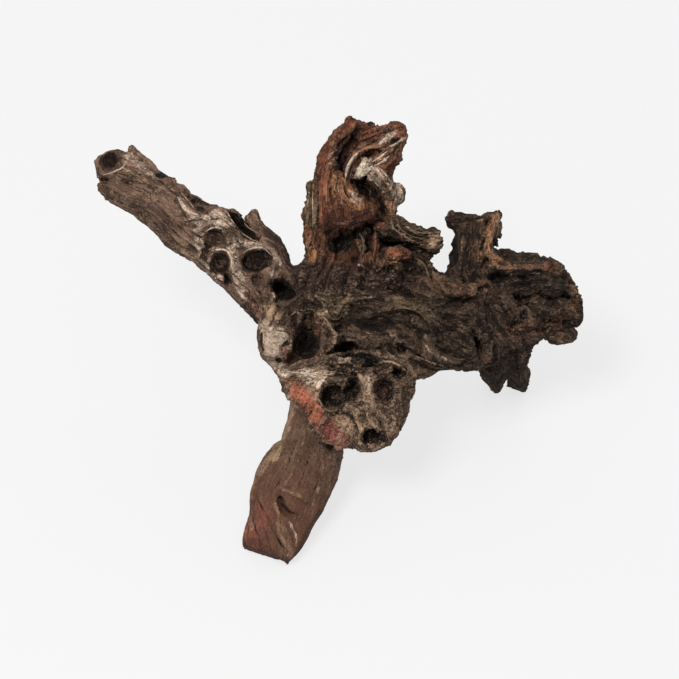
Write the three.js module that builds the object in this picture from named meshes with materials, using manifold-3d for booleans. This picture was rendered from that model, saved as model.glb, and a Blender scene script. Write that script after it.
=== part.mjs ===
// A piece of weathered root driftwood: a gnarled trunk on three feet, with a long arm, a torn hood,
// a mushroom-headed stub and a burl with round knot holes. It grew as one piece, so it is one mesh.
//
// Everything is modelled as it is seen from the front and above: x to the right, y up the view and
// z towards the viewer, in millimetres. The finished wood is then turned to stand on its feet, +Z up.
import * as THREE from 'three';
import { LoftGeometry } from 'three/addons/geometries/LoftGeometry.js';
import { ImprovedNoise } from 'three/addons/math/ImprovedNoise.js';
import { SimplifyModifier } from 'three/addons/modifiers/SimplifyModifier.js';
import { mergeVertices } from 'three/addons/utils/BufferGeometryUtils.js';
import Module from 'manifold-3d';

// Driving dimensions
const VIEW_ELEVATION = 45; // degrees above the floor that the modelling view looks down from
const FLOOR_DEPTH = 80; // from the view's origin down to the floor, square to the floor
const PLAN_MIDDLE = new THREE.Vector2( - 1.6, 3.4 ); // the middle of the plan, from the view's origin
const FACET = 6.5; // the usual side of a facet
const FEWEST_SIDES = 8; // round a thin strand
const RING_SPACING = 1.2; // between the rings of a thin strand, as a share of its half width
const BROAD_LUMP = 17; // the usual width of a swelling on the bark
const SMALL_LUMP = 7; // and of the lesser swellings on it
const LUMP_HEIGHT = 1.5; // how far a swelling stands out
const SEED_STEP = 0.37; // the shift of the lumps for each millimetre that a limb starts further right
const FRONT = new THREE.Vector3( 0, 0, 1 ); // towards the viewer
const UP = new THREE.Vector3( 0, 1, 0 ); // up the view
const WELD = 1e-4; // corners nearer than this are one
const FLOOR_BLOCK = 600; // a side of the block that planes the feet flat
const TRIANGLES = 11500; // that the joined wood is thinned to

const wasm = await Module();
wasm.setup();
const noise = new ImprovedNoise();

// Solids

function solid( geometry ) {

	const bare = new THREE.BufferGeometry();
	bare.setAttribute( 'position', geometry.getAttribute( 'position' ) );
	bare.setIndex( geometry.index );
	const merged = mergeVertices( bare, WELD );
	return new wasm.Manifold( new wasm.Mesh( {
		numProp: 3,
		vertProperties: merged.attributes.position.array,
		triVerts: new Uint32Array( merged.index.array ),
	} ) );

}

// The mesh of a solid.
function shell( piece ) {

	const { vertProperties, triVerts } = piece.getMesh();
	const geometry = new THREE.BufferGeometry();
	geometry.setAttribute( 'position', new THREE.BufferAttribute( vertProperties, 3 ) );
	return geometry.setIndex( new THREE.BufferAttribute( triVerts, 1 ) );

}

function join( solids ) {

	return solids.reduce( ( whole, next ) => whole.add( next ) );

}

// How far the bark stands out at a point: broad swellings with smaller ones on them.
function lumps( point, seed ) {

	const broad = noise.noise( point.x / BROAD_LUMP + seed, point.y / BROAD_LUMP, point.z / BROAD_LUMP );
	const small = noise.noise( point.x / SMALL_LUMP, point.y / SMALL_LUMP + seed, point.z / SMALL_LUMP );
	return LUMP_HEIGHT * ( 1.3 * broad + 0.6 * small );

}

// A limb is lofted through stations of [ x, y, z, half width, half depth ]. The half width is square
// to the limb in the plane of the view and the half depth is towards the viewer. Flutes run along it
// and wind by twist turns, and torn lets the last ring run on unevenly, as on a broken end.
function limb( stations, options = {} ) {

	const { flutes = 5, flute = 0.05, twist = 1.2, rough = 1, torn = 0, front = FRONT } = options;
	const places = stations.map( ( [ x, y, z ] ) => new THREE.Vector3( x, y, z ) );
	const halves = stations.map( ( [ , , , a, b ] ) => new THREE.Vector3( a, b, 0 ) );
	const centre = new THREE.CatmullRomCurve3( places );
	const girth = new THREE.CatmullRomCurve3( halves );
	const widest = Math.max( ...stations.map( ( station ) => station[ 3 ] ) );
	const rings = Math.ceil( centre.getLength() / Math.min( FACET, RING_SPACING * widest ) );
	const sides = Math.max( FEWEST_SIDES, Math.ceil( 2 * Math.PI * widest / FACET ) );
	const seed = SEED_STEP * stations[ 0 ][ 0 ];
	const sections = [];

	for ( let i = 0; i <= rings; i ++ ) {

		const u = i / rings;
		const middle = centre.getPoint( u );
		const along = centre.getTangent( u );
		const across = new THREE.Vector3().crossVectors( front, along ).normalize();
		const out = new THREE.Vector3().crossVectors( along, across );
		const { x: a, y: b } = girth.getPoint( u );
		const ring = [];

		for ( let j = 0; j < sides; j ++ ) {

			const angle = 2 * Math.PI * j / sides;
			const spoke = across.clone().multiplyScalar( a * Math.cos( angle ) );
			spoke.addScaledVector( out, b * Math.sin( angle ) );
			const fluting = 1 + flute * Math.sin( flutes * angle + 2 * Math.PI * twist * u + seed );
			const point = middle.clone().addScaledVector( spoke, fluting );
			point.addScaledVector( spoke.normalize(), rough * lumps( point, seed ) );

			if ( i === rings ) {

				const tear = noise.noise( 2 * Math.cos( angle ), 2 * Math.sin( angle ), seed );
				point.addScaledVector( along, torn * tear );

			}

			ring.push( point );

		}

		sections.push( ring );

	}

	return solid( new LoftGeometry( sections, { capStart: true, capEnd: true } ) );

}

// A strand of wood that stands out of the bark, of one size, with thinner ends.
function strand( points, size, { end = 0.55, depth = 1.2, ...options } = {} ) {

	const last = points.length - 1;
	return limb( points.map( ( [ x, y, z ], i ) => {

		const half = i === 0 || i === last ? end * size : size;
		return [ x, y, z, half, depth * half ];

	} ), { flute: 0.03, rough: 0.6, ...options } );

}

// A lumpy egg at a point, with its three half sizes, turned about the view's axis by tilt degrees.
function egg( [ x, y, z ], [ a, b, c ], { tilt = 0, rough = 0.4 } = {} ) {

	const detail = Math.max( a, b ) > FACET ? 2 : 1;
	const ball = new THREE.IcosahedronGeometry( 1, detail );
	ball.deleteAttribute( 'uv' );
	ball.deleteAttribute( 'normal' );
	const skin = mergeVertices( ball, WELD );
	const centre = new THREE.Vector3( x, y, z );
	const turn = new THREE.Quaternion().setFromAxisAngle( FRONT, THREE.MathUtils.degToRad( tilt ) );
	skin.applyMatrix4( new THREE.Matrix4().compose( centre, turn, new THREE.Vector3( a, b, c ) ) );
	const position = skin.attributes.position;

	for ( let i = 0; i < position.count; i ++ ) {

		const point = new THREE.Vector3().fromBufferAttribute( position, i );
		const out = point.clone().sub( centre ).normalize();
		point.addScaledVector( out, rough * lumps( point, SEED_STEP * x ) );
		position.setXYZ( i, point.x, point.y, point.z );

	}

	return solid( skin );

}

// A straight block with its middle at a point, for a flat break. It leans by the Euler angles, in degrees.
function block( [ x, y, z ], [ a, b, c ], angles ) {

	const [ ex, ey, ez ] = angles.map( THREE.MathUtils.degToRad );
	const box = new THREE.BoxGeometry( 2 * a, 2 * b, 2 * c );
	box.applyMatrix4( new THREE.Matrix4().makeRotationFromEuler( new THREE.Euler( ex, ey, ez, 'ZYX' ) ) );
	return solid( box.translate( x, y, z ) );

}

// The trunk and the limbs

function trunk() {

	return [
		limb( [
			[ - 36, 14, 0, 22, 16 ], [ - 18, 19, 0, 30, 20 ], [ 5, 20, 0, 33, 24 ], [ 28, 17, 0, 34, 25 ],
			[ 52, 10, 0, 34, 24 ], [ 76, 9, - 2, 27, 21 ], [ 98, 22, - 4, 31.5, 20 ],
			[ 112, 24, - 6, 29, 19 ],
			[ 124, 26, - 8, 25.5, 17 ], [ 136, 22, - 10, 19, 13 ], [ 144, 19, - 10, 12.5, 10 ],
			[ 151, 17.5, - 11, 7, 7 ],
		], { flutes: 9, flute: 0.03, rough: 1.2, torn: 3 } ),
		// the lobe under the broken right end
		limb( [
			[ 122, 10, - 6, 10, 9 ], [ 133, 8, - 7, 8.5, 8 ], [ 141, 5.5, - 8, 6, 7 ],
			[ 145, 5, - 8, 4, 5 ],
		] ),
		// ridges over the bark
		strand( [
			[ - 12, 30, 18 ], [ - 6, 18, 21 ], [ 1, 14, 22 ], [ 5, 21, 22 ], [ 14, 25, 22 ],
			[ 28, 22, 22 ],
		], 5, { depth: 0.7 } ),
		strand( [ [ 30, 14, 23 ], [ 42, 16, 22 ], [ 52, 10, 22 ], [ 60, 2, 20 ] ], 5, { depth: 0.6 } ),
		strand( [ [ 50, 4, 22 ], [ 54, - 4, 21 ], [ 62, - 11, 17 ], [ 74, - 13, 11 ] ], 4.5, { depth: 0.7 } ),
		strand( [
			[ 20, - 12, 18 ], [ 31, - 10, 19 ], [ 40, - 14, 16 ], [ 46, - 21, 10 ],
		], 5, { depth: 0.8 } ),
		strand( [ [ 84, 12, 17 ], [ 96, 8, 14 ], [ 106, 2, 10 ], [ 112, - 6, 3 ] ], 5, { depth: 0.7 } ),
		strand( [ [ 109, 5, 10 ], [ 116, 9, 11 ], [ 119, 16, 11 ], [ 114, 21, 11 ], [ 108, 19, 12 ] ], 3 ),
		strand( [ [ 104, 33, 13 ], [ 118, 33, 9 ], [ 132, 31, 4 ], [ 143, 28, - 4 ] ], 4.5, { depth: 0.7 } ),
		strand( [ [ 112, 20, 11 ], [ 126, 19, 7 ], [ 138, 18, 1 ], [ 150, 18, - 7 ] ], 4.5, { depth: 0.7 } ),
	];

}

function arm() {

	return [
		limb( [
			[ - 22, 17, 0, 20, 16 ], [ - 36, 26, 2, 20.5, 16 ], [ - 46, 36, 3, 21, 17 ],
			[ - 57, 46, 3, 20.5, 16.5 ],
			[ - 70, 57, 1, 20, 16 ], [ - 83, 66, - 2, 18.5, 15.5 ], [ - 97, 73, - 4, 17.5, 15 ],
			[ - 108, 81.5, - 6, 16, 14.5 ],
			[ - 121, 92, - 9, 15.5, 14 ], [ - 133, 99, - 12, 17, 14 ], [ - 143, 102, - 14, 17.5, 13 ],
			[ - 151, 100, - 15, 13, 9 ],
		], { flutes: 4, flute: 0.04, rough: 0.5, torn: 4 } ),
		// the hollow lobe at the tip and the pointed splinter beside it
		limb( [
			[ - 130, 102, - 14, 11, 10 ], [ - 139, 108, - 15, 11.5, 11 ], [ - 145, 112, - 16, 9, 10 ],
			[ - 148, 114, - 17, 5, 7 ],
		], { rough: 0.5 } ),
		limb( [
			[ - 121, 103, - 10, 8, 8 ], [ - 127, 112, - 11, 6.5, 6 ], [ - 130, 119, - 12, 3, 3 ],
			[ - 130.5, 122, - 12, 1, 1.5 ],
		], { rough: 0.4 } ),
		// the plate that stands behind the long hollow
		limb( [
			[ - 55, 77.5, - 4, 4, 4 ], [ - 51.5, 69, - 3, 5.5, 6 ], [ - 45, 61, - 2, 6.5, 9 ],
			[ - 38, 52, 0, 8, 10 ],
			[ - 36.5, 42, 2, 7, 10 ],
		], { torn: 2 } ),
		// the knuckle and the lip behind it
		egg( [ - 77, 75.5, 6 ], [ 11, 7, 8 ], { tilt: - 10 } ),
		strand( [ [ - 71, 80, 3 ], [ - 65, 79, 4 ], [ - 61, 73, 4 ], [ - 57, 66, 3 ] ], 2.8 ),
		egg( [ - 81, 82, - 3 ], [ 7, 4, 5 ] ),
		egg( [ - 107, 99, - 9 ], [ 5, 3.5, 5 ] ),
		// the web of ridges between the cups
		strand( [ [ - 86, 76, 12 ], [ - 75, 72, 14 ], [ - 67, 64, 15 ], [ - 63, 57, 17 ] ], 3.6 ),
		strand( [ [ - 65, 58, 16 ], [ - 54, 59, 16 ], [ - 44, 58, 12 ], [ - 38, 50, 12 ] ], 3.2 ),
		strand( [ [ - 66, 57, 15 ], [ - 64, 46, 16 ], [ - 62, 34, 12 ], [ - 57, 24, 8 ] ], 4 ),
		strand( [ [ - 94, 64, 9 ], [ - 87, 56, 9 ], [ - 83, 47, 6 ], [ - 75, 39, 3 ] ], 3.4 ),
		strand( [ [ - 81, 52, 12 ], [ - 74, 56, 14 ], [ - 66, 59, 15 ] ], 2.6 ),
		strand( [ [ - 101, 91, 5 ], [ - 97, 83, 10 ], [ - 92, 77, 12 ], [ - 86, 77, 13 ] ], 2.4 ),
		strand( [ [ - 42, 41, 15 ], [ - 46, 31, 15 ], [ - 45, 20, 13 ], [ - 42, 9, 14 ] ], 3.6 ),
		strand( [ [ - 40, 26, 15 ], [ - 34, 20, 15 ], [ - 31, 12, 17 ], [ - 30, 4, 18 ] ], 3 ),
	];

}

function leg() {

	return [
		limb( [
			[ - 10, - 22, - 6, 17, 16 ], [ - 13, - 40, - 8, 17.5, 17 ], [ - 15, - 52, - 5, 17.5, 17 ],
			[ - 18, - 73, 2, 21, 17 ], [ - 27, - 86, 8, 24.5, 18 ], [ - 33, - 99, 13, 23.5, 18 ],
			[ - 36.5, - 110, 17, 20.5, 18 ], [ - 41, - 122, 22, 18.5, 17 ], [ - 45.5, - 133, 25, 15.5, 15 ],
		], { flutes: 3, flute: 0.03, rough: 0.5, torn: 4 } ),
		// the boss in front and the two ridges that run down from it
		egg( [ - 25, - 97, 21 ], [ 12, 10, 10 ], { tilt: 20 } ),
		strand( [
			[ - 47, - 86, 21 ], [ - 43, - 99, 26 ], [ - 38, - 112, 30 ], [ - 34, - 126, 35 ],
		], 6, { depth: 0.8 } ),
		strand( [
			[ - 14, - 96, 18 ], [ - 21, - 110, 24 ], [ - 28, - 122, 29 ], [ - 33, - 134, 32 ],
		], 6, { depth: 0.8 } ),
	];

}

// The two short prongs under the right end, which are one of the three feet.
function prongs() {

	return [
		limb( [
			[ 104, 6, - 8, 15, 12 ], [ 99, - 9, - 24, 11, 11 ], [ 99, - 21, - 52, 8, 9 ],
			[ 101, - 31, - 88, 5, 7 ],
		] ),
		limb( [
			[ 110, 4, - 8, 12, 12 ], [ 110.5, - 8, - 26, 9, 10 ], [ 114, - 20, - 54, 6.5, 8 ],
			[ 117.5, - 29, - 90, 5, 7 ],
		] ),
	];

}

// The root that runs back from the trunk to the third foot.
function rearRoot() {

	return limb( [
		[ - 6, 20, - 8, 22, 18 ], [ - 12, 22, - 34, 18, 16 ], [ - 18, 26, - 66, 15, 14 ],
		[ - 22, 28, - 100, 15, 14 ],
		[ - 24, 24, - 134, 18, 15 ], [ - 26, 18, - 150, 16, 13 ],
	], { flutes: 4, flute: 0.07, front: UP } );

}

// The stub with the mushroom head, and the ribs that run from it along the trunk.
function stub() {

	return [
		limb( [
			[ 81, 18, - 2, 16, 14 ], [ 80, 36, 0, 13, 12 ], [ 80, 46, 1, 12.5, 11 ], [ 82, 60, 1, 11, 11 ],
			[ 83, 72, 0, 13, 10 ],
		] ),
		limb( [
			[ 67.5, 73, 2, 2.5, 4 ], [ 71, 73.5, 3, 5, 8 ], [ 79, 73.5, 4, 5, 10 ], [ 88, 73, 2, 4.5, 9 ],
			[ 94, 75.5, - 1, 4, 6 ], [ 100, 78.5, - 3, 2.5, 3 ],
		], { rough: 1 } ),
		strand( [
			[ 98, 77, - 1 ], [ 96, 69, 3 ], [ 92.5, 60, 8 ], [ 95, 52, 10 ], [ 104, 46, 10 ],
			[ 118, 45, 7 ], [ 133, 43, - 1 ],
		], 3.6 ),
		strand( [ [ 97, 70, - 2 ], [ 98.5, 66, - 4 ], [ 98, 62, - 6 ], [ 101, 57, - 8 ] ], 2.8 ),
		strand( [ [ 93, 38, 14 ], [ 85, 31, 16 ], [ 74, 28, 18 ], [ 65, 33, 15 ], [ 58, 41, 11 ] ], 3.4 ),
		strand( [ [ 70, 52, 5 ], [ 71, 42, 9 ], [ 75, 33, 13 ] ], 3 ),
	];

}

// The torn hood: a back wall, the curved rib on its left, the lobe on its right and the plate in front.
function hood() {

	return [
		limb( [
			[ 8, 44, - 8, 26, 15 ], [ 8, 60, - 9, 24, 13 ], [ 9, 78, - 11, 22, 11 ],
			[ 9, 96, - 12, 20.5, 10 ],
			[ 12, 111, - 12, 22, 10 ], [ 17, 120, - 12, 21, 9 ], [ 23, 127, - 12, 15, 7 ],
			[ 27, 131, - 12, 9, 4 ],
		], { torn: 2 } ),
		limb( [
			[ - 10, 50, 2, 9, 10 ], [ - 9, 66, 7, 7.5, 9 ], [ - 8, 82, 9, 7.5, 9 ], [ - 8, 98, 8, 6.5, 8 ],
			[ - 8, 110, 4, 6.5, 7 ], [ - 2.5, 121, 1, 6, 7 ], [ 4, 129, - 2, 5, 6 ], [ 8.5, 136, - 4, 3, 3 ],
		], { flutes: 3, flute: 0.08, rough: 0.7 } ),
		limb( [
			[ 29, 70, 0, 6, 8 ], [ 27, 88, 0, 6, 8 ], [ 26, 102, 4, 8, 9 ], [ 29, 112, 6, 8.5, 9 ],
			[ 33, 121, 5, 8.5, 8 ],
			[ 36, 130, 1, 6, 6 ], [ 37, 134, - 2, 3, 4 ],
		], { torn: 2 } ),
		// the plate in front and the block beside the hollow
		limb( [
			[ - 11, 78, 11, 12, 7 ], [ 0, 77, 18, 10.5, 6 ], [ 10, 79, 18, 8.5, 6 ], [ 18, 78, 14, 6.5, 5.5 ],
			[ 26, 76, 7, 3, 4 ],
		], { rough: 0.5 } ),
		limb( [ [ - 3, 100, 11, 5, 6 ], [ 2, 94, 15, 6, 7 ], [ 7, 87, 17, 5, 6 ] ] ),
		// the brow over the hollow and the strands that curl over it
		strand( [ [ 17, 108, 10 ], [ 21, 102, 13 ], [ 27, 95, 11 ], [ 31, 90, 5 ] ], 4.2 ),
		strand( [
			[ 5, 100, 11 ], [ 6, 107, 11 ], [ 9, 114, 11 ], [ 16, 119, 11 ], [ 27, 120, 11 ],
			[ 38, 127, 4 ],
		], 2.4, { end: 0.8 } ),
		strand( [ [ 11, 101, 11 ], [ 14, 106, 12 ], [ 16, 112, 10 ] ], 3.6, { depth: 0.9 } ),
		strand( [ [ 20, 111, 12 ], [ 28, 115, 14 ], [ 35, 120, 11 ], [ 41, 126, 3 ] ], 2.6 ),
		strand( [ [ 8, 118, - 2 ], [ 20, 125, 0 ], [ 31, 130, 2 ], [ 40, 131, - 1 ] ], 3 ),
		strand( [ [ 10, 124, - 4 ], [ 22, 130, - 4 ], [ 36, 134.5, - 5 ] ], 2.8 ),
		// the slab of bark on the left
		limb( [
			[ - 12, 48, 0, 7, 9 ], [ - 16.5, 60, 0, 5.5, 9 ], [ - 16.8, 76, 0, 5, 8 ],
			[ - 17, 90, 0, 4, 7 ], [ - 18.5, 99, 0, 2.8, 4 ],
		], { torn: 3 } ),
		strand( [ [ - 15, 84, 4 ], [ - 15, 96, 3 ], [ - 15.5, 103, 1 ] ], 2 ),
		egg( [ 34.5, 90, - 3 ], [ 5.5, 6.5, 7 ] ),
		limb( [ [ 34, 92, - 3, 4, 6 ], [ 32.5, 82, - 3, 4, 6 ], [ 32, 72, - 2, 5, 7 ] ] ),
	];

}

// The plate that juts out to the right of the hood, the lip below its slot and the posts between them.
function flap() {

	return [
		limb( [
			[ 24, 71, 2, 5, 9 ], [ 35, 69.5, 6, 6.5, 8 ], [ 46, 66.5, 7, 6.5, 7 ], [ 56, 62.5, 6, 7, 6 ],
			[ 62, 62, 4, 6, 4 ],
		], { rough: 1.2, torn: 2 } ),
		limb( [
			[ 18, 45, 6, 8, 10 ], [ 34, 48, 10, 7, 10 ], [ 48, 47, 8, 6.5, 9 ], [ 54, 44, 4, 4.5, 8 ],
			[ 57, 37, 0, 5, 8 ],
		] ),
		limb( [
			[ 20, 58, - 8, 9, 7 ], [ 36, 58, - 7, 8, 7 ], [ 50, 56, - 5, 6, 6 ], [ 57, 54, - 3, 4, 4 ],
		] ),
		strand( [ [ 14, 48, 8 ], [ 13, 58, 8 ], [ 16, 68, 8 ] ], 4.5 ),
		strand( [ [ 22, 46, 14 ], [ 23, 57, 14 ], [ 22, 69, 14 ] ], 3 ),
		strand( [ [ 28, 74, 12 ], [ 34, 68, 15 ], [ 44, 62, 14 ], [ 56, 58, 11 ] ], 2.4 ),
		strand( [ [ 30, 52, 19 ], [ 38, 53, 19 ], [ 46, 51, 17 ] ], 4 ),
	];

}

// The knob on the left, the strap of wood that runs from it to the burl and the rim of the cup beside it.
function knob() {

	return [
		limb( [
			[ - 43, 26, 5, 9, 9 ], [ - 41.5, 14, 11, 9, 10 ], [ - 39, 5, 15, 11, 11 ],
			[ - 38, - 4, 17, 12, 12 ],
			[ - 36.5, - 11, 17, 9, 9 ], [ - 34, - 15, 16, 4, 5 ],
		], { rough: 0.8 } ),
		limb( [ [ - 38, - 12, 12, 6, 7 ], [ - 34, - 19, 15, 5.5, 7 ], [ - 28, - 28, 20, 5.5, 8 ] ] ),
		limb( [
			[ - 38, - 6, 2, 9, 9 ], [ - 26, - 12, 6, 9, 10 ], [ - 12, - 16, 10, 9, 12 ],
			[ 2, - 16, 14, 8, 12 ],
		] ),
		strand( [
			[ - 30, 16, 14 ], [ - 21, 20, 18 ], [ - 12, 17, 22 ], [ - 6, 9, 26 ], [ - 3, 1, 28 ],
			[ - 9, - 7, 26 ], [ - 20, - 14, 22 ],
		], 2.6, { depth: 2 } ),
	];

}

// The burl: a stub broken across, with its face to the viewer. Its sections are one outline, scaled.
function burl() {

	const outline = new THREE.CatmullRomCurve3( [
		[ - 39, - 20 ], [ - 36, - 29 ], [ - 29, - 38 ], [ - 19, - 46 ], [ - 16, - 54 ], [ - 7, - 60 ],
		[ 2, - 67 ], [ 10, - 69 ],
		[ 20, - 68 ], [ 30, - 64 ], [ 37, - 57 ], [ 42, - 46 ], [ 46, - 34 ], [ 46, - 23 ], [ 36, - 13 ],
		[ 20, - 9 ], [ 0, - 10 ],
		[ - 20, - 14 ],
	].map( ( [ x, y ] ) => new THREE.Vector3( x, y, 0 ) ), true, 'catmullrom', 0.4 );
	const middle = new THREE.Vector3( 8, - 36, 0 );
	const corners = 34;
	// how high each section is and how large, from inside the trunk to the face
	const levels = [ [ - 8, 0.7 ], [ 8, 0.84 ], [ 22, 0.94 ], [ 33, 1 ], [ 39, 0.98 ], [ 42, 0.9 ] ];
	const faceSlope = 0.12;
	const rims = outline.getSpacedPoints( corners ).slice( 0, corners );
	const sections = levels.map( ( [ z, size ] ) => rims.map( ( rim ) => {

		const point = rim.clone().sub( middle ).multiplyScalar( size ).add( middle );
		point.y += 40 * ( 1 - size );
		point.z = z + faceSlope * ( point.y - middle.y );
		const out = point.clone().sub( middle ).setZ( 0 ).normalize();
		return point.addScaledVector( out, 0.7 * lumps( point, 3 ) );

	} ) );
	return [
		solid( new LoftGeometry( sections, { capStart: true, capEnd: true } ) ),
		// ridges on its face
		strand( [
			[ - 34, - 20, 40 ], [ - 20, - 18, 42 ], [ - 6, - 20, 43 ], [ 6, - 18, 43 ],
		], 5, { depth: 0.6 } ),
		strand( [
			[ 14, - 22, 43 ], [ 17, - 32, 42 ], [ 16, - 44, 41 ], [ 22, - 52, 39 ],
		], 5, { depth: 0.6 } ),
		strand( [
			[ - 20, - 24, 42 ], [ - 14, - 36, 41 ], [ - 4, - 48, 39 ], [ 8, - 60, 37 ],
		], 5, { depth: 0.5 } ),
		strand( [ [ 30, - 44, 40 ], [ 32, - 52, 39 ], [ 28, - 60, 37 ] ], 5, { depth: 0.6 } ),
		// crumbling lumps along its upper edge
		egg( [ 3, - 13, 39 ], [ 5.5, 3.5, 5 ], { rough: 1 } ),
		egg( [ 15, - 17, 42 ], [ 5, 3, 4 ], { rough: 1, tilt: 20 } ),
		egg( [ 28, - 13.5, 35 ], [ 7, 3, 7 ], { rough: 1, tilt: - 10 } ),
		egg( [ 39, - 18, 34 ], [ 5, 3.5, 7 ], { rough: 1, tilt: - 35 } ),
	];

}

function grown() {

	return [
		...trunk(), ...arm(), ...leg(), ...prongs(), rearRoot(),
		...stub(), ...hood(), ...flap(), ...knob(), ...burl(),
	];

}

// Hollows

function hollows() {

	return [
		// in the arm: the tip, the long hollow and the cups
		egg( [ - 145, 112.5, - 4 ], [ 7, 7.5, 10 ] ),
		egg( [ - 150, 99.5, - 4 ], [ 6, 1.8, 9 ], { tilt: - 8 } ),
		limb( [
			[ - 68, 78, 12, 1.5, 9 ], [ - 64, 72, 12, 2.5, 13 ], [ - 59, 65.5, 12, 3.8, 14 ],
			[ - 49, 61, 12, 2, 11 ],
		], { rough: 0.3 } ),
		egg( [ - 77, 63, 16 ], [ 6.8, 5.6, 6 ] ),
		egg( [ - 82, 55, 14 ], [ 4, 5, 5 ] ),
		egg( [ - 73.5, 47.5, 14 ], [ 6.4, 7.2, 8 ] ),
		egg( [ - 70, 38, 11 ], [ 2.5, 4, 5 ] ),
		egg( [ - 52, 48, 18 ], [ 9.5, 7, 11 ] ),
		egg( [ - 50, 37, 18 ], [ 5, 6, 6 ] ),
		egg( [ - 35, 31, 16 ], [ 9, 5.2, 15 ], { tilt: - 30 } ),
		// beside the knob
		limb( [
			[ - 22, 16, 28, 7, 13 ], [ - 19, 7, 28, 10, 20 ], [ - 18, - 3, 28, 10, 21 ],
			[ - 23, - 12, 28, 6, 15 ],
		], { rough: 0.4 } ),
		// in the burl
		egg( [ - 3.5, - 34.5, 42 ], [ 9.5, 9, 13 ], { rough: 1 } ),
		egg( [ 8, - 31, 42 ], [ 5.5, 7.5, 13 ], { rough: 1 } ),
		egg( [ 27, - 31.5, 42 ], [ 7.5, 8, 9 ], { rough: 1 } ),
		egg( [ 20.5, - 60, 39 ], [ 8, 6.5, 9 ], { rough: 1 } ),
		egg( [ 35, - 20, 42 ], [ 5, 4, 10 ] ),
		// in the hood: the hollow under the brow, the valley beside the rib, the cavity and the slot
		egg( [ 18, 93.5, 15 ], [ 10.5, 5, 12 ], { tilt: - 35 } ),
		limb( [
			[ 14, 131, 4, 1.5, 4 ], [ 7, 125, 6, 3.5, 6 ], [ 1.5, 117, 8, 4, 7 ], [ 1, 107, 12, 2.6, 7 ],
			[ 3, 100, 16, 1, 4 ],
		], { rough: 0.4 } ),
		limb( [
			[ - 6, 62, 14, 3, 12 ], [ 1, 61, 14, 6.5, 15 ], [ 8, 66, 14, 4, 13 ], [ 20, 70, 14, 1.5, 8 ],
		], { rough: 0.4 } ),
		limb( [
			[ 25, 63, 12, 2.5, 10 ], [ 32, 60, 12, 4, 13 ], [ 42, 57.5, 12, 3, 12 ],
			[ 56, 53.5, 10, 1.5, 8 ],
		], { rough: 0.4 } ),
		egg( [ 28, 80, 12 ], [ 3, 6, 9 ] ),
		// on the trunk: beside the stub, the long gully and the curl
		egg( [ 99, 38, 14 ], [ 8, 4.6, 10 ] ),
		limb( [
			[ 92, 35, 19, 1.5, 5 ], [ 84, 29, 19, 1.6, 5 ], [ 74, 23, 21, 1.6, 5 ], [ 66, 22, 22, 1, 4 ],
		], { rough: 0.3 } ),
		limb( [
			[ 106, 29, 13, 1.4, 4 ], [ 113, 26, 12, 2, 6 ], [ 121, 28, 10, 2.2, 6 ],
			[ 129, 25, 7, 2.6, 6 ], [ 137, 27, 4, 1.8, 6 ], [ 147, 25, - 2, 1.5, 5 ],
		], { rough: 0.8 } ),
		egg( [ 114, 13.5, 13 ], [ 3.5, 3, 6 ] ),
		egg( [ 87, - 4, 14 ], [ 2.5, 8, 8 ], { tilt: 18 } ),
		limb( [
			[ 2, - 6, 28, 3, 8 ], [ 12, - 7, 28, 4, 10 ], [ 24, - 8, 28, 3, 8 ], [ 31, - 5, 26, 2, 5 ],
		], { rough: 0.4 } ),
		// on the leg: the slit beside the boss and the flat break on its left
		limb( [
			[ - 37, - 97, 33, 2, 4 ], [ - 35, - 104, 34, 3, 6 ], [ - 27, - 109, 36, 2, 4 ],
		], { rough: 0.3 } ),
		block( [ - 66, - 117, 46 ], [ 20, 26, 14 ], [ 8, - 42, 22 ] ),
	];

}

// The wood, turned and lifted so that its feet stand on the floor.

const stand = new THREE.Matrix4().makeTranslation( - PLAN_MIDDLE.x, - PLAN_MIDDLE.y, FLOOR_DEPTH );
stand.multiply( new THREE.Matrix4().makeRotationX( THREE.MathUtils.degToRad( 90 - VIEW_ELEVATION ) ) );

function floor() {

	const ground = new THREE.BoxGeometry( FLOOR_BLOCK, FLOOR_BLOCK, FLOOR_BLOCK );
	ground.translate( 0, 0, - FLOOR_BLOCK / 2 );
	return solid( ground.applyMatrix4( stand.clone().invert() ) );

}

// Thins the mesh of a solid to about a number of triangles.
async function thinned( piece, triangles ) {

	const fine = shell( piece );
	const spare = ( fine.index.count / 3 - triangles ) / 2; // each vertex that goes takes two triangles
	return solid( await new SimplifyModifier().modify( fine, spare ) );

}

const wood = await thinned( join( grown() ).subtract( join( hollows() ) ), TRIANGLES );
// The largest body is the wood. Hollows sealed inside it and loose scraps are the others.
const [ whole ] = wood.subtract( floor() ).decompose().sort( ( a, b ) => b.volume() - a.volume() );

const bark = new THREE.MeshStandardMaterial( { color: 0x6b5748, roughness: 0.9, metalness: 0 } );
const driftwood = new THREE.Mesh( shell( whole ).applyMatrix4( stand ), bark );
driftwood.name = 'driftwood';

const part = new THREE.Group();
part.add( driftwood );

export default part;
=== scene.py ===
"""A piece of weathered root driftwood, standing on a pale floor.

Places on the wood are given as they are seen from the front and above: x to the right, y up the view and
z towards the viewer, in millimetres from the middle of the view.
"""

import math

import bmesh
import bpy
import numpy as np
from mathutils import Matrix, Vector, noise
from mathutils.bvhtree import BVHTree


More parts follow.
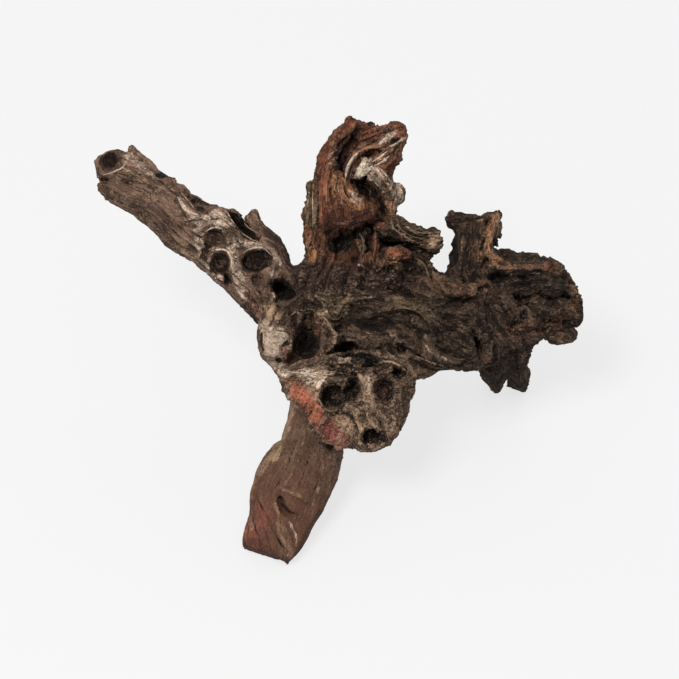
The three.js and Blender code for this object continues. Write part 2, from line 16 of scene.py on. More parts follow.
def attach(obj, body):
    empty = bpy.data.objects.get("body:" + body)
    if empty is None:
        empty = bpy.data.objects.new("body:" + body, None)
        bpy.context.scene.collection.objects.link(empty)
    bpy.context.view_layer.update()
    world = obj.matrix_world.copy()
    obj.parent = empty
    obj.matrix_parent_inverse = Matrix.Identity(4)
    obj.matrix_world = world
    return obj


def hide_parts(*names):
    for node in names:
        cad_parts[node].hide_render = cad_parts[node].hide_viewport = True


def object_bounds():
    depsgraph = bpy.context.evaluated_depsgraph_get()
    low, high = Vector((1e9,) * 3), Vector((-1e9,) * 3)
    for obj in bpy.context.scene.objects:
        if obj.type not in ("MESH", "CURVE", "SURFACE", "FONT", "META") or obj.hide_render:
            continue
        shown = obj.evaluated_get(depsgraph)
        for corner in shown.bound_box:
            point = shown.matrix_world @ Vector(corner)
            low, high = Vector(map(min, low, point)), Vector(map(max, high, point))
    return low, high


bl_info = {
    "name": "Driftwood",
    "version": (1, 0, 0),
    "blender": (4, 5, 0),
    "location": "View3D > Sidebar > Driftwood",
    "description": "Grows the grain, the knot holes and the colours of a piece of root driftwood",
    "category": "Add Mesh",
}

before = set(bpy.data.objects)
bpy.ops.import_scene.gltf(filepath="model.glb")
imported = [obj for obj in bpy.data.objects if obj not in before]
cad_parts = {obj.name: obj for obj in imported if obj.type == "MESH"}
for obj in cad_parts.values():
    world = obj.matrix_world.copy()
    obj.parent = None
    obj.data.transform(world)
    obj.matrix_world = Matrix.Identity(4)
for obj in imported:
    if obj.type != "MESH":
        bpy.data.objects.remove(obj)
CAD_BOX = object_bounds()

MM = 0.001
SEED = 7

# The view that the photograph shows: its angle, its middle and its width
VIEW_ELEVATION = math.radians(45)
VIEW_ORIGIN = Vector((0.0016, -0.0034, 0.080))
VIEW_DISTANCE = 2.0
PHOTO_WIDTH = 679
PIXELS_PER_MM = 1.6
VIEW_WIDTH = PHOTO_WIDTH / PIXELS_PER_MM * MM
RIGHT = Vector((1, 0, 0))
UP = Vector((0, math.cos(VIEW_ELEVATION), math.sin(VIEW_ELEVATION)))
FRONT = Vector((0, -math.sin(VIEW_ELEVATION), math.cos(VIEW_ELEVATION)))
VIEW_AXES = np.array((RIGHT, UP, FRONT))

MOST_TRIANGLES = 196000
MERGE_DISTANCE = 1e-6
RELAXING_ROUNDS = 12

# The fibres: how many steps they run each way, how long a step is in point spacings, and how strongly
# the nearest limb, a mark and a hole turn them
FIBRE_STEPS = 8
FIBRE_STRIDE = 0.9
LIMB_PULL_POWER = 6
MARK_PULL = 5
HOLE_PULL = 6

# The torn surface: where its folds break off, where a hole's rim stands and how wide it is in the
# hole's radii, how far a mark may stray from its line in millimetres, what share of that the thinnest
# mark takes, and how much the prongs' tips thin
LEDGES = (-0.9, -0.1, 0.7)
RIM_PLACE = 1.2
RIM_WIDTH = 0.16
WANDER_ROOM = 3
LEAST_WANDER = 0.35
PRONG_TIPS = ((102, -34), (119, -32))
PRONG_THINNING = 0.55

# The loose fibres: their steps in millimetres, their sides, over how many steps they bridge a dip and
# how deep they follow it, how uneven they are, and how high and how thick they stand for their lift
STRIP_STEP = 0.8
STRIP_SIDES = 8
STRIP_STIFFNESS = 3
DEEPEST_DIP = 1.5 * MM
STRIP_WAVER = 0.45
STRIP_RISE = 0.35
STRIP_THICKNESS = 0.6
CLEAR_OF_WOOD = 0.2

# Sizes of the patterns in the materials
GRAIN_LENGTH = 12 * MM
GRAIN_WIDTH = 1.1 * MM
CLOUD_SIZE = 22 * MM
MOTTLE_SIZE = 8 * MM
GRIT_SIZE = 1.3 * MM
PORE_SIZE = 2.2 * MM

# The stage
FLOOR_REACH = 6.0
FLOOR_GLOW = 0.73
ROOM_LIGHT = 0.55


def paint(red, green, blue):
    """A colour of the screen, 0 to 255, as light."""
    shares = np.array((red, green, blue)) / 255
    light = np.where(shares < 0.04, shares / 12.92, ((shares + 0.055) / 1.055) ** 2.4)
    return tuple(float(share) for share in light)


def smoothstep(low, high, value):
    """A soft step from 0 at low to 1 at high, which may lie on either side of it."""
    share = np.clip((value - low) / (high - low), 0, 1)
    return share * share * (3 - 2 * share)


# Marks on the wood, as they are seen in the view


def stain(tint, strength, width, *line):
    """A stretch of another colour along a line, with a half width in millimetres."""
    return {"tint": tint, "strength": strength, "width": width, "height": 0, "line": line}


def ridge(tint, width, height, *line):
    """A raised fibre."""
    return {"tint": tint, "strength": 0.6, "width": width, "height": height, "line": line}


def crack(width, depth, *line):
    """A dark groove."""
    return {"tint": "black", "strength": 0.75, "width": width, "height": -depth, "line": line}


def swell(width, shift, *line):
    """A stretch that stands elsewhere than the solid's, with how far it is moved right, up and forward."""
    return {"width": width, "shift": shift, "line": line}


def rubble(height, reach, *line):
    """A crumbling stretch: how high its crumbs stand and how far they reach from a line."""
    return {"height": height, "width": reach, "line": line}


def strip(tint, width, lift, *line):
    """A loose fibre or splinter that lies on the wood, with a half width and how far it stands off."""
    return {"tint": tint, "width": width, "lift": lift, "line": line}


def hole(middle, radii, tilt=0, depth=3, rim=0.8, dark=1):
    """A knot hole: its radii, how far it is turned, how much deeper it gets, how high its rim stands and
    how dark the shade painted inside it is.
    """
    return {"middle": middle, "radii": radii, "tilt": tilt, "depth": depth, "rim": rim, "dark": dark}


# The middle line of each limb, and how far the limb reaches from it
LIMBS = {
    "arm": (17, (-152, 100, -15), (-121, 92, -9), (-97, 73, -4), (-70, 57, 1), (-57, 46, 3), (-44, 34, 3)),
    "hood": (20, (9, 56, -6), (9, 78, -6), (9, 96, -8), (14, 112, -8), (26, 130, -8)),
    "slab": (7, (-14, 50, 0), (-17, 66, 0), (-17, 84, 0), (-18, 101, 0)),
    "flap": (10, (26, 70, 4), (44, 66, 7), (62, 62, 4)),
    "leg": (18, (-13, -40, -8), (-18, -73, 2), (-30, -95, 10), (-37, -110, 17), (-46, -134, 25)),
    "burl": (34, (8, -36, 22), (6, -38, 30)),
    "knob": (11, (-43, 26, 5), (-40, 8, 13), (-38, -6, 16), (-35, -15, 16)),
    "trunk": (24, (-34, 16, 0), (5, 20, 0), (52, 10, 0), (80, 10, -2), (112, 24, -6), (150, 18, -11)),
    "stub": (12, (80, 24, 0), (80, 46, 1), (83, 74, 0)),
    "prongs": (9, (103, 0, -12), (104, -14, -40), (108, -26, -88)),
    "rear": (16, (-10, 22, -34), (-20, 27, -90), (-26, 19, -150)),
}


# How high the swellings and the fibres of each limb stand, how dry and pale its edges are, and its contrast
ROUGH = {
    "arm": (0.5, 0.5, 0.75, 1.0),
    "hood": (1.2, 1.2, 0.6, 0.95),
    "slab": (1.2, 1.1, 0.6, 1.4),
    "flap": (1.4, 1.1, 0.8, 1.5),
    "leg": (0.25, 0.3, 0.4, 0.35),
    "burl": (1.3, 0.35, 1.0, 1.35),
    "knob": (0.6, 0.5, 0.7, 0.5),
    "trunk": (2.2, 0.8, 0.45, 1.25),
    "stub": (1.1, 0.6, 0.4, 0.9),
    "prongs": (0.5, 0.6, 0.2, 0.7),
    "rear": (1.3, 0.8, 0.2, 1.0),
}


ARM_MARKS = [
    stain("brown", 0.45, 9, (-146, 92), (-130, 98), (-116, 100)),
    stain("tan", 0.5, 6, (-108, 60), (-97, 56), (-86, 47)),
    stain("tan", 0.4, 4, (-148, 88), (-136, 88), (-124, 80)),
    stain("purple", 0.5, 8, (-124, 84), (-104, 70)),
    stain("pale", 0.4, 4, (-132, 116), (-124, 108), (-116, 102)),
    stain("brown", 0.8, 8, (-144, 112)),
    ridge("pale", 1.0, 0.8, (-148, 103), (-142, 104), (-135, 108), (-131, 117)),
    ridge("tan", 1.8, 0.7, (-134, 106), (-124, 101), (-111, 92)),
    crack(0.7, 0.7, (-140, 103), (-132, 99), (-124, 97)),
    crack(0.6, 0.4, (-126, 93), (-118, 88), (-108, 78)),
    crack(0.5, 0.4, (-134, 90), (-124, 86)),
    crack(1.2, 1.2, (-150, 100), (-145, 100), (-141, 101)),
    stain("black", 0.9, 2.6, (-113, 102.5), (-108, 104), (-102, 102)),
    crack(0.9, 0.9, (-112, 99), (-104, 92), (-97, 88)),
    ridge("pale", 2.2, 1.5, (-99, 87), (-96, 82), (-92, 78), (-88, 76)),
    crack(1.3, 1.6, (-95, 90), (-90, 84), (-86, 82)),
    ridge("pale", 1.1, 0.8, (-96, 74), (-91, 76), (-86, 78)),
    stain("black", 0.95, 3.4, (-90, 87), (-80, 88), (-73, 85)),
    stain("brown", 0.8, 3, (-92, 86), (-86, 80), (-88, 70)),
    stain("pale", 0.8, 5, (-88, 74), (-78, 76), (-70, 73)),
    stain("pale", 0.7, 4, (-88, 64), (-86, 56), (-82, 46), (-74, 38)),
    stain("pale", 0.6, 4, (-66, 58), (-64, 46), (-61, 34), (-58, 24)),
    stain("pale", 0.6, 3, (-64, 61), (-52, 58), (-42, 56), (-38, 48)),
    stain("pink", 0.5, 5, (-62, 32), (-54, 22), (-48, 14)),
    ridge("pale", 2.3, 1.5, (-89, 67), (-84, 71), (-77, 71), (-71, 68), (-69, 61)),
    ridge("pale", 2.1, 1.4, (-86, 60), (-82, 55), (-77, 56), (-70, 57), (-66, 55)),
    ridge("pale", 2.0, 1.3, (-81, 48), (-79, 41), (-73, 37)),
    ridge("pale", 2.2, 1.2, (-65.5, 56), (-66, 46), (-64, 36), (-58, 25)),
    ridge("pale", 2.1, 1.4, (-63, 57), (-52, 58), (-42, 56), (-39, 48), (-42, 40)),
    ridge("tan", 1.6, 1.0, (-77, 80), (-72, 82), (-68, 76), (-62, 64)),
    crack(0.8, 0.7, (-83, 79), (-79, 75), (-75, 75)),
    crack(0.8, 0.6, (-92, 66), (-86, 63), (-83, 66)),
    ridge("tan", 1.0, 0.5, (-53, 34), (-49, 24), (-48, 14)),
    ridge("tan", 1.0, 0.6, (-47, 34), (-44, 24), (-45, 14)),
    ridge("pale", 1.2, 0.8, (-42, 38), (-41, 28), (-42, 18)),
    crack(0.8, 0.6, (-50, 30), (-47, 20), (-48, 12)),
    crack(0.8, 0.8, (-41, 25), (-38, 20), (-35, 18)),
    stain("purple", 0.7, 5, (-45, 68), (-38, 60), (-33, 55)),
    stain("olive", 0.6, 6, (-28, 42), (-22, 36), (-14, 34)),
    stain("tan", 0.5, 3, (-30, 52), (-26, 47), (-24, 40)),
] + [
    # streaks along the tip
    crack(0.6, 0.5, *((x + 0.4 * d, y + 0.9 * d) for x, y in ((-148, 99), (-134, 93), (-118, 86))))
    for d in (-8, -4, 5, 9, 14)
] + [
    # streaks along the lower edge
    crack(0.6, 0.5, *((x + 0.65 * d, y + 0.76 * d) for x, y in ((-124, 77), (-96, 52), (-66, 26))))
    for d in (2.5, 7, 11)
]


ARM_HOLES = [
    hole((-143.5, 112), (8, 8), 0, 0, 0.4, 0.35),
    hole((-77, 62.5), (7.4, 6.2), 20, -1, 1.4, 0.35),
    hole((-83, 54), (3.2, 6.5), -10, 0, 0.6, 0.55),
    hole((-74, 47.5), (6.6, 7.4), 0, -2, 1.4, 0.55),
    hole((-70, 37), (2.4, 4.6), 0, 1, 0.2, 0.6),
    hole((-51.5, 48.5), (9.6, 7), 15, -3, 1.2, 0.65),
    hole((-49, 36), (6, 4.4), 0, -1, 0.2, 0.15),
    hole((-36, 31), (9, 5.2), -35, 4, 0.4, 1),
    hole((-61, 71), (12, 3.8), -46, 4, 0.4, 1),
    hole((-79, 75.5), (1.5, 1.1), 0, 1.2, 0.3, 0.7),
    hole((-60, 24), (1.3, 1.1), 0, 1.2, 0.3, 0.6),
    hole((-39, 25), (1.5, 1.1), 0, 1.2, 0.3, 0.8),
]


HOOD_MARKS = [
    stain("rust", 0.6, 7, (-9, 74), (-9, 96), (-8, 112), (0, 126), (8, 134)),
    stain("red", 0.95, 9, (-4, 74), (8, 75), (24, 77)),
    stain("purple", 0.9, 6, (14, 130), (6, 125), (1, 118), (1, 108), (4, 98)),
    stain("red", 0.7, 7, (10, 124), (22, 130), (36, 134)),
    stain("rust", 0.8, 4, (34, 132), (39, 127)),
    stain("orange", 1, 8, (-1, 96), (3, 91), (11, 86)),
    stain("pale", 0.45, 5, (0, 94), (5, 89), (11, 86)),
    stain("tan", 1, 7, (18, 105), (25, 99), (32, 92)),
    stain("pale", 0.85, 6, (18, 105), (25, 99), (31, 93)),
    stain("tan", 1, 7, (33, 95), (36, 89), (34, 84)),
    stain("pale", 0.9, 5, (33, 97), (37, 90), (35, 84)),
    stain("orange", 0.6, 4, (33, 85), (33, 77)),
    stain("olive", 0.9, 5, (-18, 98), (-18, 84), (-17, 70)),
    stain("orange", 0.7, 5, (-20, 66), (-20, 58), (-17, 52)),
    crack(0.9, 0.9, (12, 129), (5, 123), (0, 115), (2, 104)),
    crack(0.8, 0.9, (7, 122), (4, 114), (3.5, 104)),
    crack(0.9, 1.2, (8, 127), (22, 130), (34, 134)),
    crack(0.9, 1.2, (9, 122), (22, 127), (35, 131)),
    crack(1.0, 1.3, (14, 118), (24, 124), (30, 126)),
    ridge("rust", 1.2, 1.2, (12, 127), (24, 132), (37, 135)),
    ridge("rust", 1.2, 1.2, (11, 124), (24, 128.5), (37, 132)),
    ridge("red", 1.2, 1.0, (10, 120), (20, 124), (27, 127)),
    stain("pale", 0.9, 2.6, (25, 121), (29, 125), (33, 128)),
    ridge("pale", 1.2, 1.3, (28, 117), (35, 121), (40, 125)),
    ridge("pale", 1.0, 1.2, (22, 110), (28, 114), (33, 118)),
    ridge("pale", 1.0, 1.2, (24, 108), (31, 113), (36, 118)),
    ridge("pale", 1.5, 1.6, (4, 100), (5.5, 107), (8.5, 113), (14, 118)),
    ridge("orange", 1.5, 1.2, (14, 118.5), (21, 120), (28, 118)),
    stain("pale", 1, 4.0, (11, 102), (15, 106), (17, 111)),
    ridge("pale", 1.4, 1.4, (10, 101), (13, 107), (16, 112)),
    ridge("pale", 1.4, 1.2, (13, 101), (17, 105), (20, 109)),
    crack(1.1, 1.8, (8, 102), (9.5, 108), (14, 114), (21, 117), (27, 116)),
    ridge("olive", 1.2, 1.0, (19, 106), (25, 100), (30, 93)),
    ridge("olive", 1.2, 1.0, (22, 108), (28, 102), (32, 96)),
    ridge("pale", 0.9, 0.7, (17, 104), (22, 99), (28, 92)),
    crack(0.6, 0.7, (22, 104), (27, 98), (31, 92)),
    ridge("pale", 1.0, 0.9, (-8, 112), (-5, 115), (-2, 118)),
    ridge("pale", 0.9, 0.8, (-7, 107), (-4, 111), (-2, 113)),
    ridge("red", 1.6, 0.9, (-12, 84), (-12, 100), (-10, 112), (-4, 124), (3, 131)),
    ridge("orange", 1.3, 0.8, (-9, 82), (-9, 98), (-7, 108)),
    crack(0.8, 0.8, (-5, 84), (-6, 98), (-5, 108)),
    crack(0.8, 0.7, (-1, 80), (-2, 92), (-1, 104)),
    ridge("orange", 1.2, 0.8, (0, 98), (1, 90), (6, 84)),
    ridge("orange", 1.2, 0.8, (5, 96), (6, 89), (11, 84)),
    ridge("tan", 1.3, 0.9, (9, 98), (11, 92), (15, 86)),
    crack(0.9, 0.9, (3, 97), (3.5, 90), (8, 83)),
    crack(0.9, 1.2, (-14, 102), (-13.5, 86), (-14, 70)),
    crack(0.7, 0.8, (-18, 96), (-17, 82), (-18, 68)),
    ridge("pale", 1.0, 0.8, (-19, 92), (-19, 80), (-20, 70)),
    ridge("olive", 1.0, 0.8, (-16, 90), (-16, 78), (-16, 66)),
    ridge("orange", 1.2, 0.7, (-20, 66), (-19, 58), (-15, 50)),
    stain("black", 1, 1.6, (25, 88), (26.5, 83), (27.5, 78)),
    crack(1.4, 1.4, (-8, 66), (2, 68), (10, 71), (20, 72.5), (27, 74)),
    crack(0.9, 0.8, (-12, 64), (-13, 56), (-10, 48)),
]


HOOD_HOLES = [
    hole((17, 94), (9.5, 4), -35, 3, 0.5, 0.9),
    hole((34, 123), (3.0, 1.5), 30, 2, 0.4, 0.8),
    hole((0, 60), (8, 6.5), 10, 3, 0.4, 0.95),
    hole((13, 65.5), (9, 3), 10, 2, 0.2, 0.9),
    hole((32, 60.5), (8, 3), -18, 4, 0.4, 1),
    hole((46, 57), (9, 1.8), -14, 3, 0.3, 0.95),
    hole((10, 49), (3.4, 2.2), 0, 2, 0.3, 0.8),
    hole((30, 45), (5, 2), 10, 2, 0.2, 0.7),
    hole((42, 47), (5, 2), -20, 2, 0.2, 0.8),
]


FLAP_MARKS = [
    stain("orange", 0.35, 4, (22, 52), (27, 48), (34, 52), (42, 53)),
    stain("rust", 0.9, 4, (32, 53), (41, 53)),
    stain("tan", 0.9, 5, (52, 64), (57, 61), (62, 64)),
    stain("tan", 0.6, 4, (33, 68), (40, 63), (50, 60)),
    stain("orange", 0.5, 3, (42, 62), (54, 59)),
    stain("black", 0.3, 4, (37, 73), (44, 71), (50, 68)),
    stain("brown", 0.5, 6, (34, 66), (44, 64), (52, 61)),
    ridge("pale", 0.9, 1.0, (32, 74), (34, 68), (42, 63), (51, 60), (57, 57)),
    ridge("olive", 0.9, 0.9, (36, 71), (40, 66), (49, 63), (58, 61)),
    ridge("pale", 0.8, 0.8, (41, 70), (48, 66), (58, 66)),
    ridge("orange", 1.1, 0.8, (45, 61), (53, 58), (59, 57)),
    crack(0.8, 1.0, (34, 71), (38, 65), (47, 61.5), (56, 59)),
    crack(0.8, 1.0, (39, 69), (45, 64.5), (55, 63.5)),
    crack(0.8, 0.8, (47, 68), (53, 65), (60, 66)),
    ridge("olive", 1.6, 0.9, (9, 64), (12, 58), (10, 52)),
    ridge("pale", 1.1, 0.8, (13, 66), (16, 60), (15, 53)),
    ridge("red", 1.3, 0.9, (20, 67), (22, 60), (21, 51)),
    ridge("orange", 1.6, 1.0, (20, 50), (26, 46), (31, 51), (36, 49)),
    ridge("rust", 2.0, 1.2, (31, 54), (37, 56), (43, 53)),
    ridge("pale", 0.9, 0.8, (12, 46), (20, 43), (28, 41)),
    ridge("tan", 0.9, 0.8, (24, 42), (32, 45), (39, 42)),
    crack(1.0, 1.0, (16, 46), (24, 41), (33, 44), (40, 40)),
    crack(1.0, 1.0, (38, 49), (46, 47), (52, 43)),
    ridge("olive", 1.2, 0.9, (46, 50), (52, 47), (55, 40)),
    ridge("tan", 1.0, 0.8, (51, 51), (57, 44), (60, 38)),
    crack(0.8, 0.8, (50, 49), (55, 42), (58, 36)),
]


KNOB_MARKS = [
    stain("pale", 1, 10, (-42, 2), (-38, -6)),
    stain("pale", 0.7, 6, (-45, 8), (-42, -10), (-36, -20)),
    stain("pink", 0.7, 4, (-34, -6), (-33, -12)),
    stain("tan", 0.6, 6, (-44, 20), (-40, 14)),
    crack(1.0, 1.2, (-40, 5.5), (-35, 4.5), (-31, 2.5)),
    ridge("pale", 1.6, 0.7, (-40, 3), (-34, 2), (-30, -1), (-30, -6)),
    stain("black", 0.7, 1.6, (-48.5, 3), (-48.5, -3), (-47, -6)),
    ridge("tan", 1.3, 0.6, (-46, 6), (-46, -4), (-43, -10)),
    ridge("pale", 1.2, 0.6, (-34, 18), (-38, 12), (-40, 6)),
    ridge("tan", 1.1, 0.6, (-40, 22), (-44, 14), (-46, 8)),
    crack(0.8, 0.7, (-37, 20), (-41, 13), (-43, 8)),
    stain("brown", 0.8, 5, (-24, 15), (-16, 14)),
    stain("purple", 0.8, 5, (-25, 12), (-24, 4)),
    stain("rust", 0.4, 4, (-14, 14), (-13, 4)),
    crack(0.6, 0.6, (-21, 16), (-21, 6)),
    stain("tan", 0.8, 3, (-12, 15), (-6, 8), (-2, 1), (-5, -4), (-12, -10)),
    stain("orange", 0.5, 2.4, (-10, 13), (-5, 6), (-3, 0), (-8, -6)),
    ridge("pale", 0.9, 1.6, (-13, 16), (-7, 10), (-2, 2), (-3, -2), (-9, -8)),
    ridge("tan", 0.9, 0.8, (-15, 12), (-10, 4), (-7, -2), (-12, -8)),
    crack(0.8, 0.8, (-12, 12), (-8, 5), (-5, 0), (-9, -6)),
    ridge("pale", 0.9, 0.8, (-31, 14), (-26, 17.5), (-18, 18.5)),
    stain("brown", 0.7, 4, (-30, -16), (-20, -14), (-10, -10)),
]


KNOB_HOLES = [
    hole((-33, -3), (2.6, 2), 0, 1.6, 0.6, 0.75),
    hole((-38, -12.5), (2.8, 1.3), -30, 2, 0.5, 0.8),
    hole((-21, -2), (8, 10), 10, 1, 0.2, 0.75),
    hole((-19, 11), (8, 6), 0, -2, 0.2, 0.1),
]


BURL_MARKS = [
    stain("tan", 0.8, 12, (-28, -22), (-16, -25), (-10, -30)),
    stain("pale", 0.8, 7, (-31, -21), (-20, -22), (-12, -26)),
    stain("tan", 0.7, 8, (15, -24), (16, -40), (12, -56)),
    stain("tan", 0.7, 5, (-2, -46), (5, -54), (12, -62)),
    stain("pale", 0.5, 3.4, (17, -22), (18, -32), (15, -42)),
    stain("brown", 0.6, 8, (38, -30), (41, -42), (34, -54)),
    stain("olive", 0.4, 5, (26, -46), (30, -54)),
    stain("purple", 0.85, 6, (-6, -13), (4, -17), (13, -18)),
    stain("brown", 0.9, 6, (24, -18), (36, -20), (44, -26)),
    stain("brown", 0.85, 7, (27, -20), (36, -22), (43, -31)),
    stain("purple", 0.9, 6, (-3, -18), (4, -21), (8, -22)),
    stain("rust", 0.4, 5, (30, -61), (36, -54)),
    stain("orange", 0.9, 6, (-29, -26), (-21, -34)),
    stain("brick", 0.9, 8.5, (-25, -33), (-19, -41), (-12, -49), (-6, -56)),
    stain("wine", 0.8, 7, (-9, -53), (-2, -60), (3, -64)),
    stain("orange", 0.5, 3.4, (-1, -61), (5, -66)),
    stain("tan", 0.7, 2.4, (-18, -28), (-9, -38), (-2, -47), (4, -56)),
    stain("tan", 0.7, 2, (-35, -31), (-26, -42), (-19, -47)),
    stain("brown", 0.6, 3, (-30, -17), (-20, -15), (-10, -12)),
    crack(0.8, 0.9, (-30, -18.5), (-20, -17), (-9, -14)),
    ridge("pale", 1.2, 0.9, (-8, -21), (-3, -20), (2, -21)),
    ridge("tan", 1.4, 1.0, (13, -22), (17, -28), (17, -36), (15, -42)),
    ridge("pink", 1.4, 0.9, (14, -44), (19, -50), (24, -56)),
    ridge("tan", 1.2, 0.8, (20, -24), (20, -34), (22, -42), (29, -49)),
    ridge("pale", 1.0, 0.8, (9, -44), (13, -51), (15, -58)),
    ridge("tan", 1.0, 0.8, (31, -44), (34, -49), (32, -57)),
    crack(1.2, 1.6, (1, -45), (6, -47), (9.5, -52), (10.5, -59)),
    crack(0.8, 1.0, (12, -41), (15, -47), (19, -53)),
    crack(0.8, 0.8, (19, -44), (25, -50), (28, -57)),
    crack(0.8, 0.8, (35, -36), (38, -43), (36, -50)),
    ridge("tan", 1.2, 1.0, (24, -15), (30, -14), (36, -16)),
    ridge("brown", 1.0, 0.9, (18, -18), (27, -17)),
    ridge("pale", 1.4, 1.2, (28, -5), (31, -9), (36, -13)),
    stain("pale", 0.9, 3.0, (1, -12), (6, -12)),
    ridge("tan", 1.0, 0.8, (-6, -14), (0, -17), (8, -18)),
    crack(1.6, 2.0, (-4, -9), (4, -8), (12, -11), (19, -13)),
    crack(2.2, 2.4, (7, -13), (15, -15.5), (25, -14)),
    crack(1.2, 1.4, (8, -17), (14, -18), (20, -20)),
    crack(0.9, 1.0, (-6, -21), (2, -23), (10, -21)),
] + [
    # the torn fibres across the red strip
    crack(0.4, 0.5, (-27 + 1.85 * n, -36 - 1.9 * n), (-23 + 1.85 * n, -28 - 1.9 * n)) for n in range(17)
]


BURL_HOLES = [
    hole((-3.5, -34.5), (9.6, 9.2), 0, 0, 1.6, 0.8),
    hole((8, -31), (5.2, 7.4), -15, 0, 1.0, 0.85),
    hole((27, -31.5), (7.4, 8), 0, -0.5, 1.2, 0.6),
    hole((36, -20), (5.4, 3.4), 0, 2, 0.6, 0.8),
    hole((20.5, -60), (8, 6.5), 0, -0.5, 1.0, 0.65),
    hole((1, -42), (3, 1.8), 20, 1, 0.3, 0.5),
    hole((14, -39), (3, 1.8), 0, 1, 0.3, 0.4),
    hole((4, -8), (5, 3), 0, 2, 0.4, 0.9),
    hole((16, -12), (8, 3.6), -10, 3, 0.5, 0.95),
    hole((-4, -17), (2.6, 1.6), 0, 1.5, 0.6, 0.8),
    hole((9, -20.5), (3, 1.6), -20, 1.5, 0.6, 0.85),
    hole((23, -20), (3, 1.8), 10, 1.5, 0.6, 0.8),
]


TRUNK_MARKS = [
    stain("black", 0.35, 11, (4, 8), (16, 6), (27, 10)),
    stain("olive", 0.6, 6, (-10, 24), (2, 22), (14, 25)),
    stain("olive", 0.5, 6, (32, 24), (44, 20), (56, 17)),
    stain("purple", 0.95, 11, (-20, 38), (-4, 38), (10, 38), (24, 36), (40, 36)),
    # painted shade in a recess of the trunk
    stain("black", 0.3, 7, (30, -2), (42, -6)),
    crack(1.4, 1.9, (-9, 14), (-3, 11.5), (1, 13), (2.5, 20), (10, 23), (20, 24.5), (28, 24)),
    ridge("pale", 1.0, 1.0, (-15, 27), (-9, 22), (-8, 16)),
    ridge("olive", 1.4, 0.9, (-10, 31), (0, 28), (12, 30), (24, 28)),
    ridge("olive", 1.2, 0.8, (-6, 19), (-1, 16), (0, 20), (6, 27)),
    ridge("tan", 1.1, 0.8, (0, 29), (12, 26.5), (26, 26)),
    crack(1.3, 1.6, (29, 15), (38, 17.5), (48, 15.5), (58, 6), (61, 2)),
    ridge("olive", 1.2, 0.9, (28, 18), (38, 20), (50, 18), (60, 9)),
    ridge("pale", 1.0, 1.0, (29, 6), (32, 3), (36, 1), (34, -3)),
    ridge("olive", 1.2, 0.8, (26, 10), (30, 5), (36, 6), (41, 2)),
    ridge("pale", 1.1, 1.0, (52, -2), (57, -8), (66, -12)),
    ridge("tan", 1.1, 0.8, (44, -10), (54, -14), (66, -18)),
    ridge("olive", 1.0, 0.7, (48, -18), (58, -20), (66, -20)),
    crack(1.0, 1.1, (42, -7), (52, -12), (62, -15), (72, -16)),
    crack(0.9, 0.9, (46, -14), (56, -18), (64, -20)),
    ridge("olive", 1.0, 0.8, (62, 2), (70, -4), (80, -8)),
    ridge("tan", 1.0, 0.7, (60, 10), (70, 4), (78, -2)),
    crack(0.9, 1.0, (60, 6), (69, 0), (79, -6)),
    crack(0.9, 0.9, (64, 13), (74, 8), (82, 3)),
    crack(1.3, 1.8, (82, 6), (86, -3), (88, -12)),
    ridge("olive", 1.0, 0.8, (36, 34), (48, 30), (58, 26)),
    crack(1.0, 1.0, (34, 31), (46, 27), (57, 22)),
    ridge("purple", 1.6, 0.9, (10, 40), (20, 36), (30, 37)),
    ridge("olive", 1.0, 0.8, (42, 12), (50, 8), (54, 0)),
    crack(0.9, 0.9, (45, 9), (51, 3), (50, -4)),
    crack(0.8, 0.8, (10, 18), (18, 12), (26, 14)),
    crack(0.8, 0.8, (-2, 6), (6, 12), (16, 9)),
    ridge("brown", 1.4, 0.8, (4, 16), (12, 15), (20, 18)),
    ridge("brown", 1.3, 0.8, (8, 6), (16, 4), (24, 2)),
] + [
    # the folds that come down from the hood
    ridge("purple", 2.8, 2.0, (x, 47), (x - 3, 40), (x - 4, 32)) for x in (-21, -11, 0, 13, 25, 37)
] + [
    crack(1.2, 1.6, (x, 46), (x - 3, 39), (x - 5, 31)) for x in (-16, -5, 7, 19, 31, 43)
]


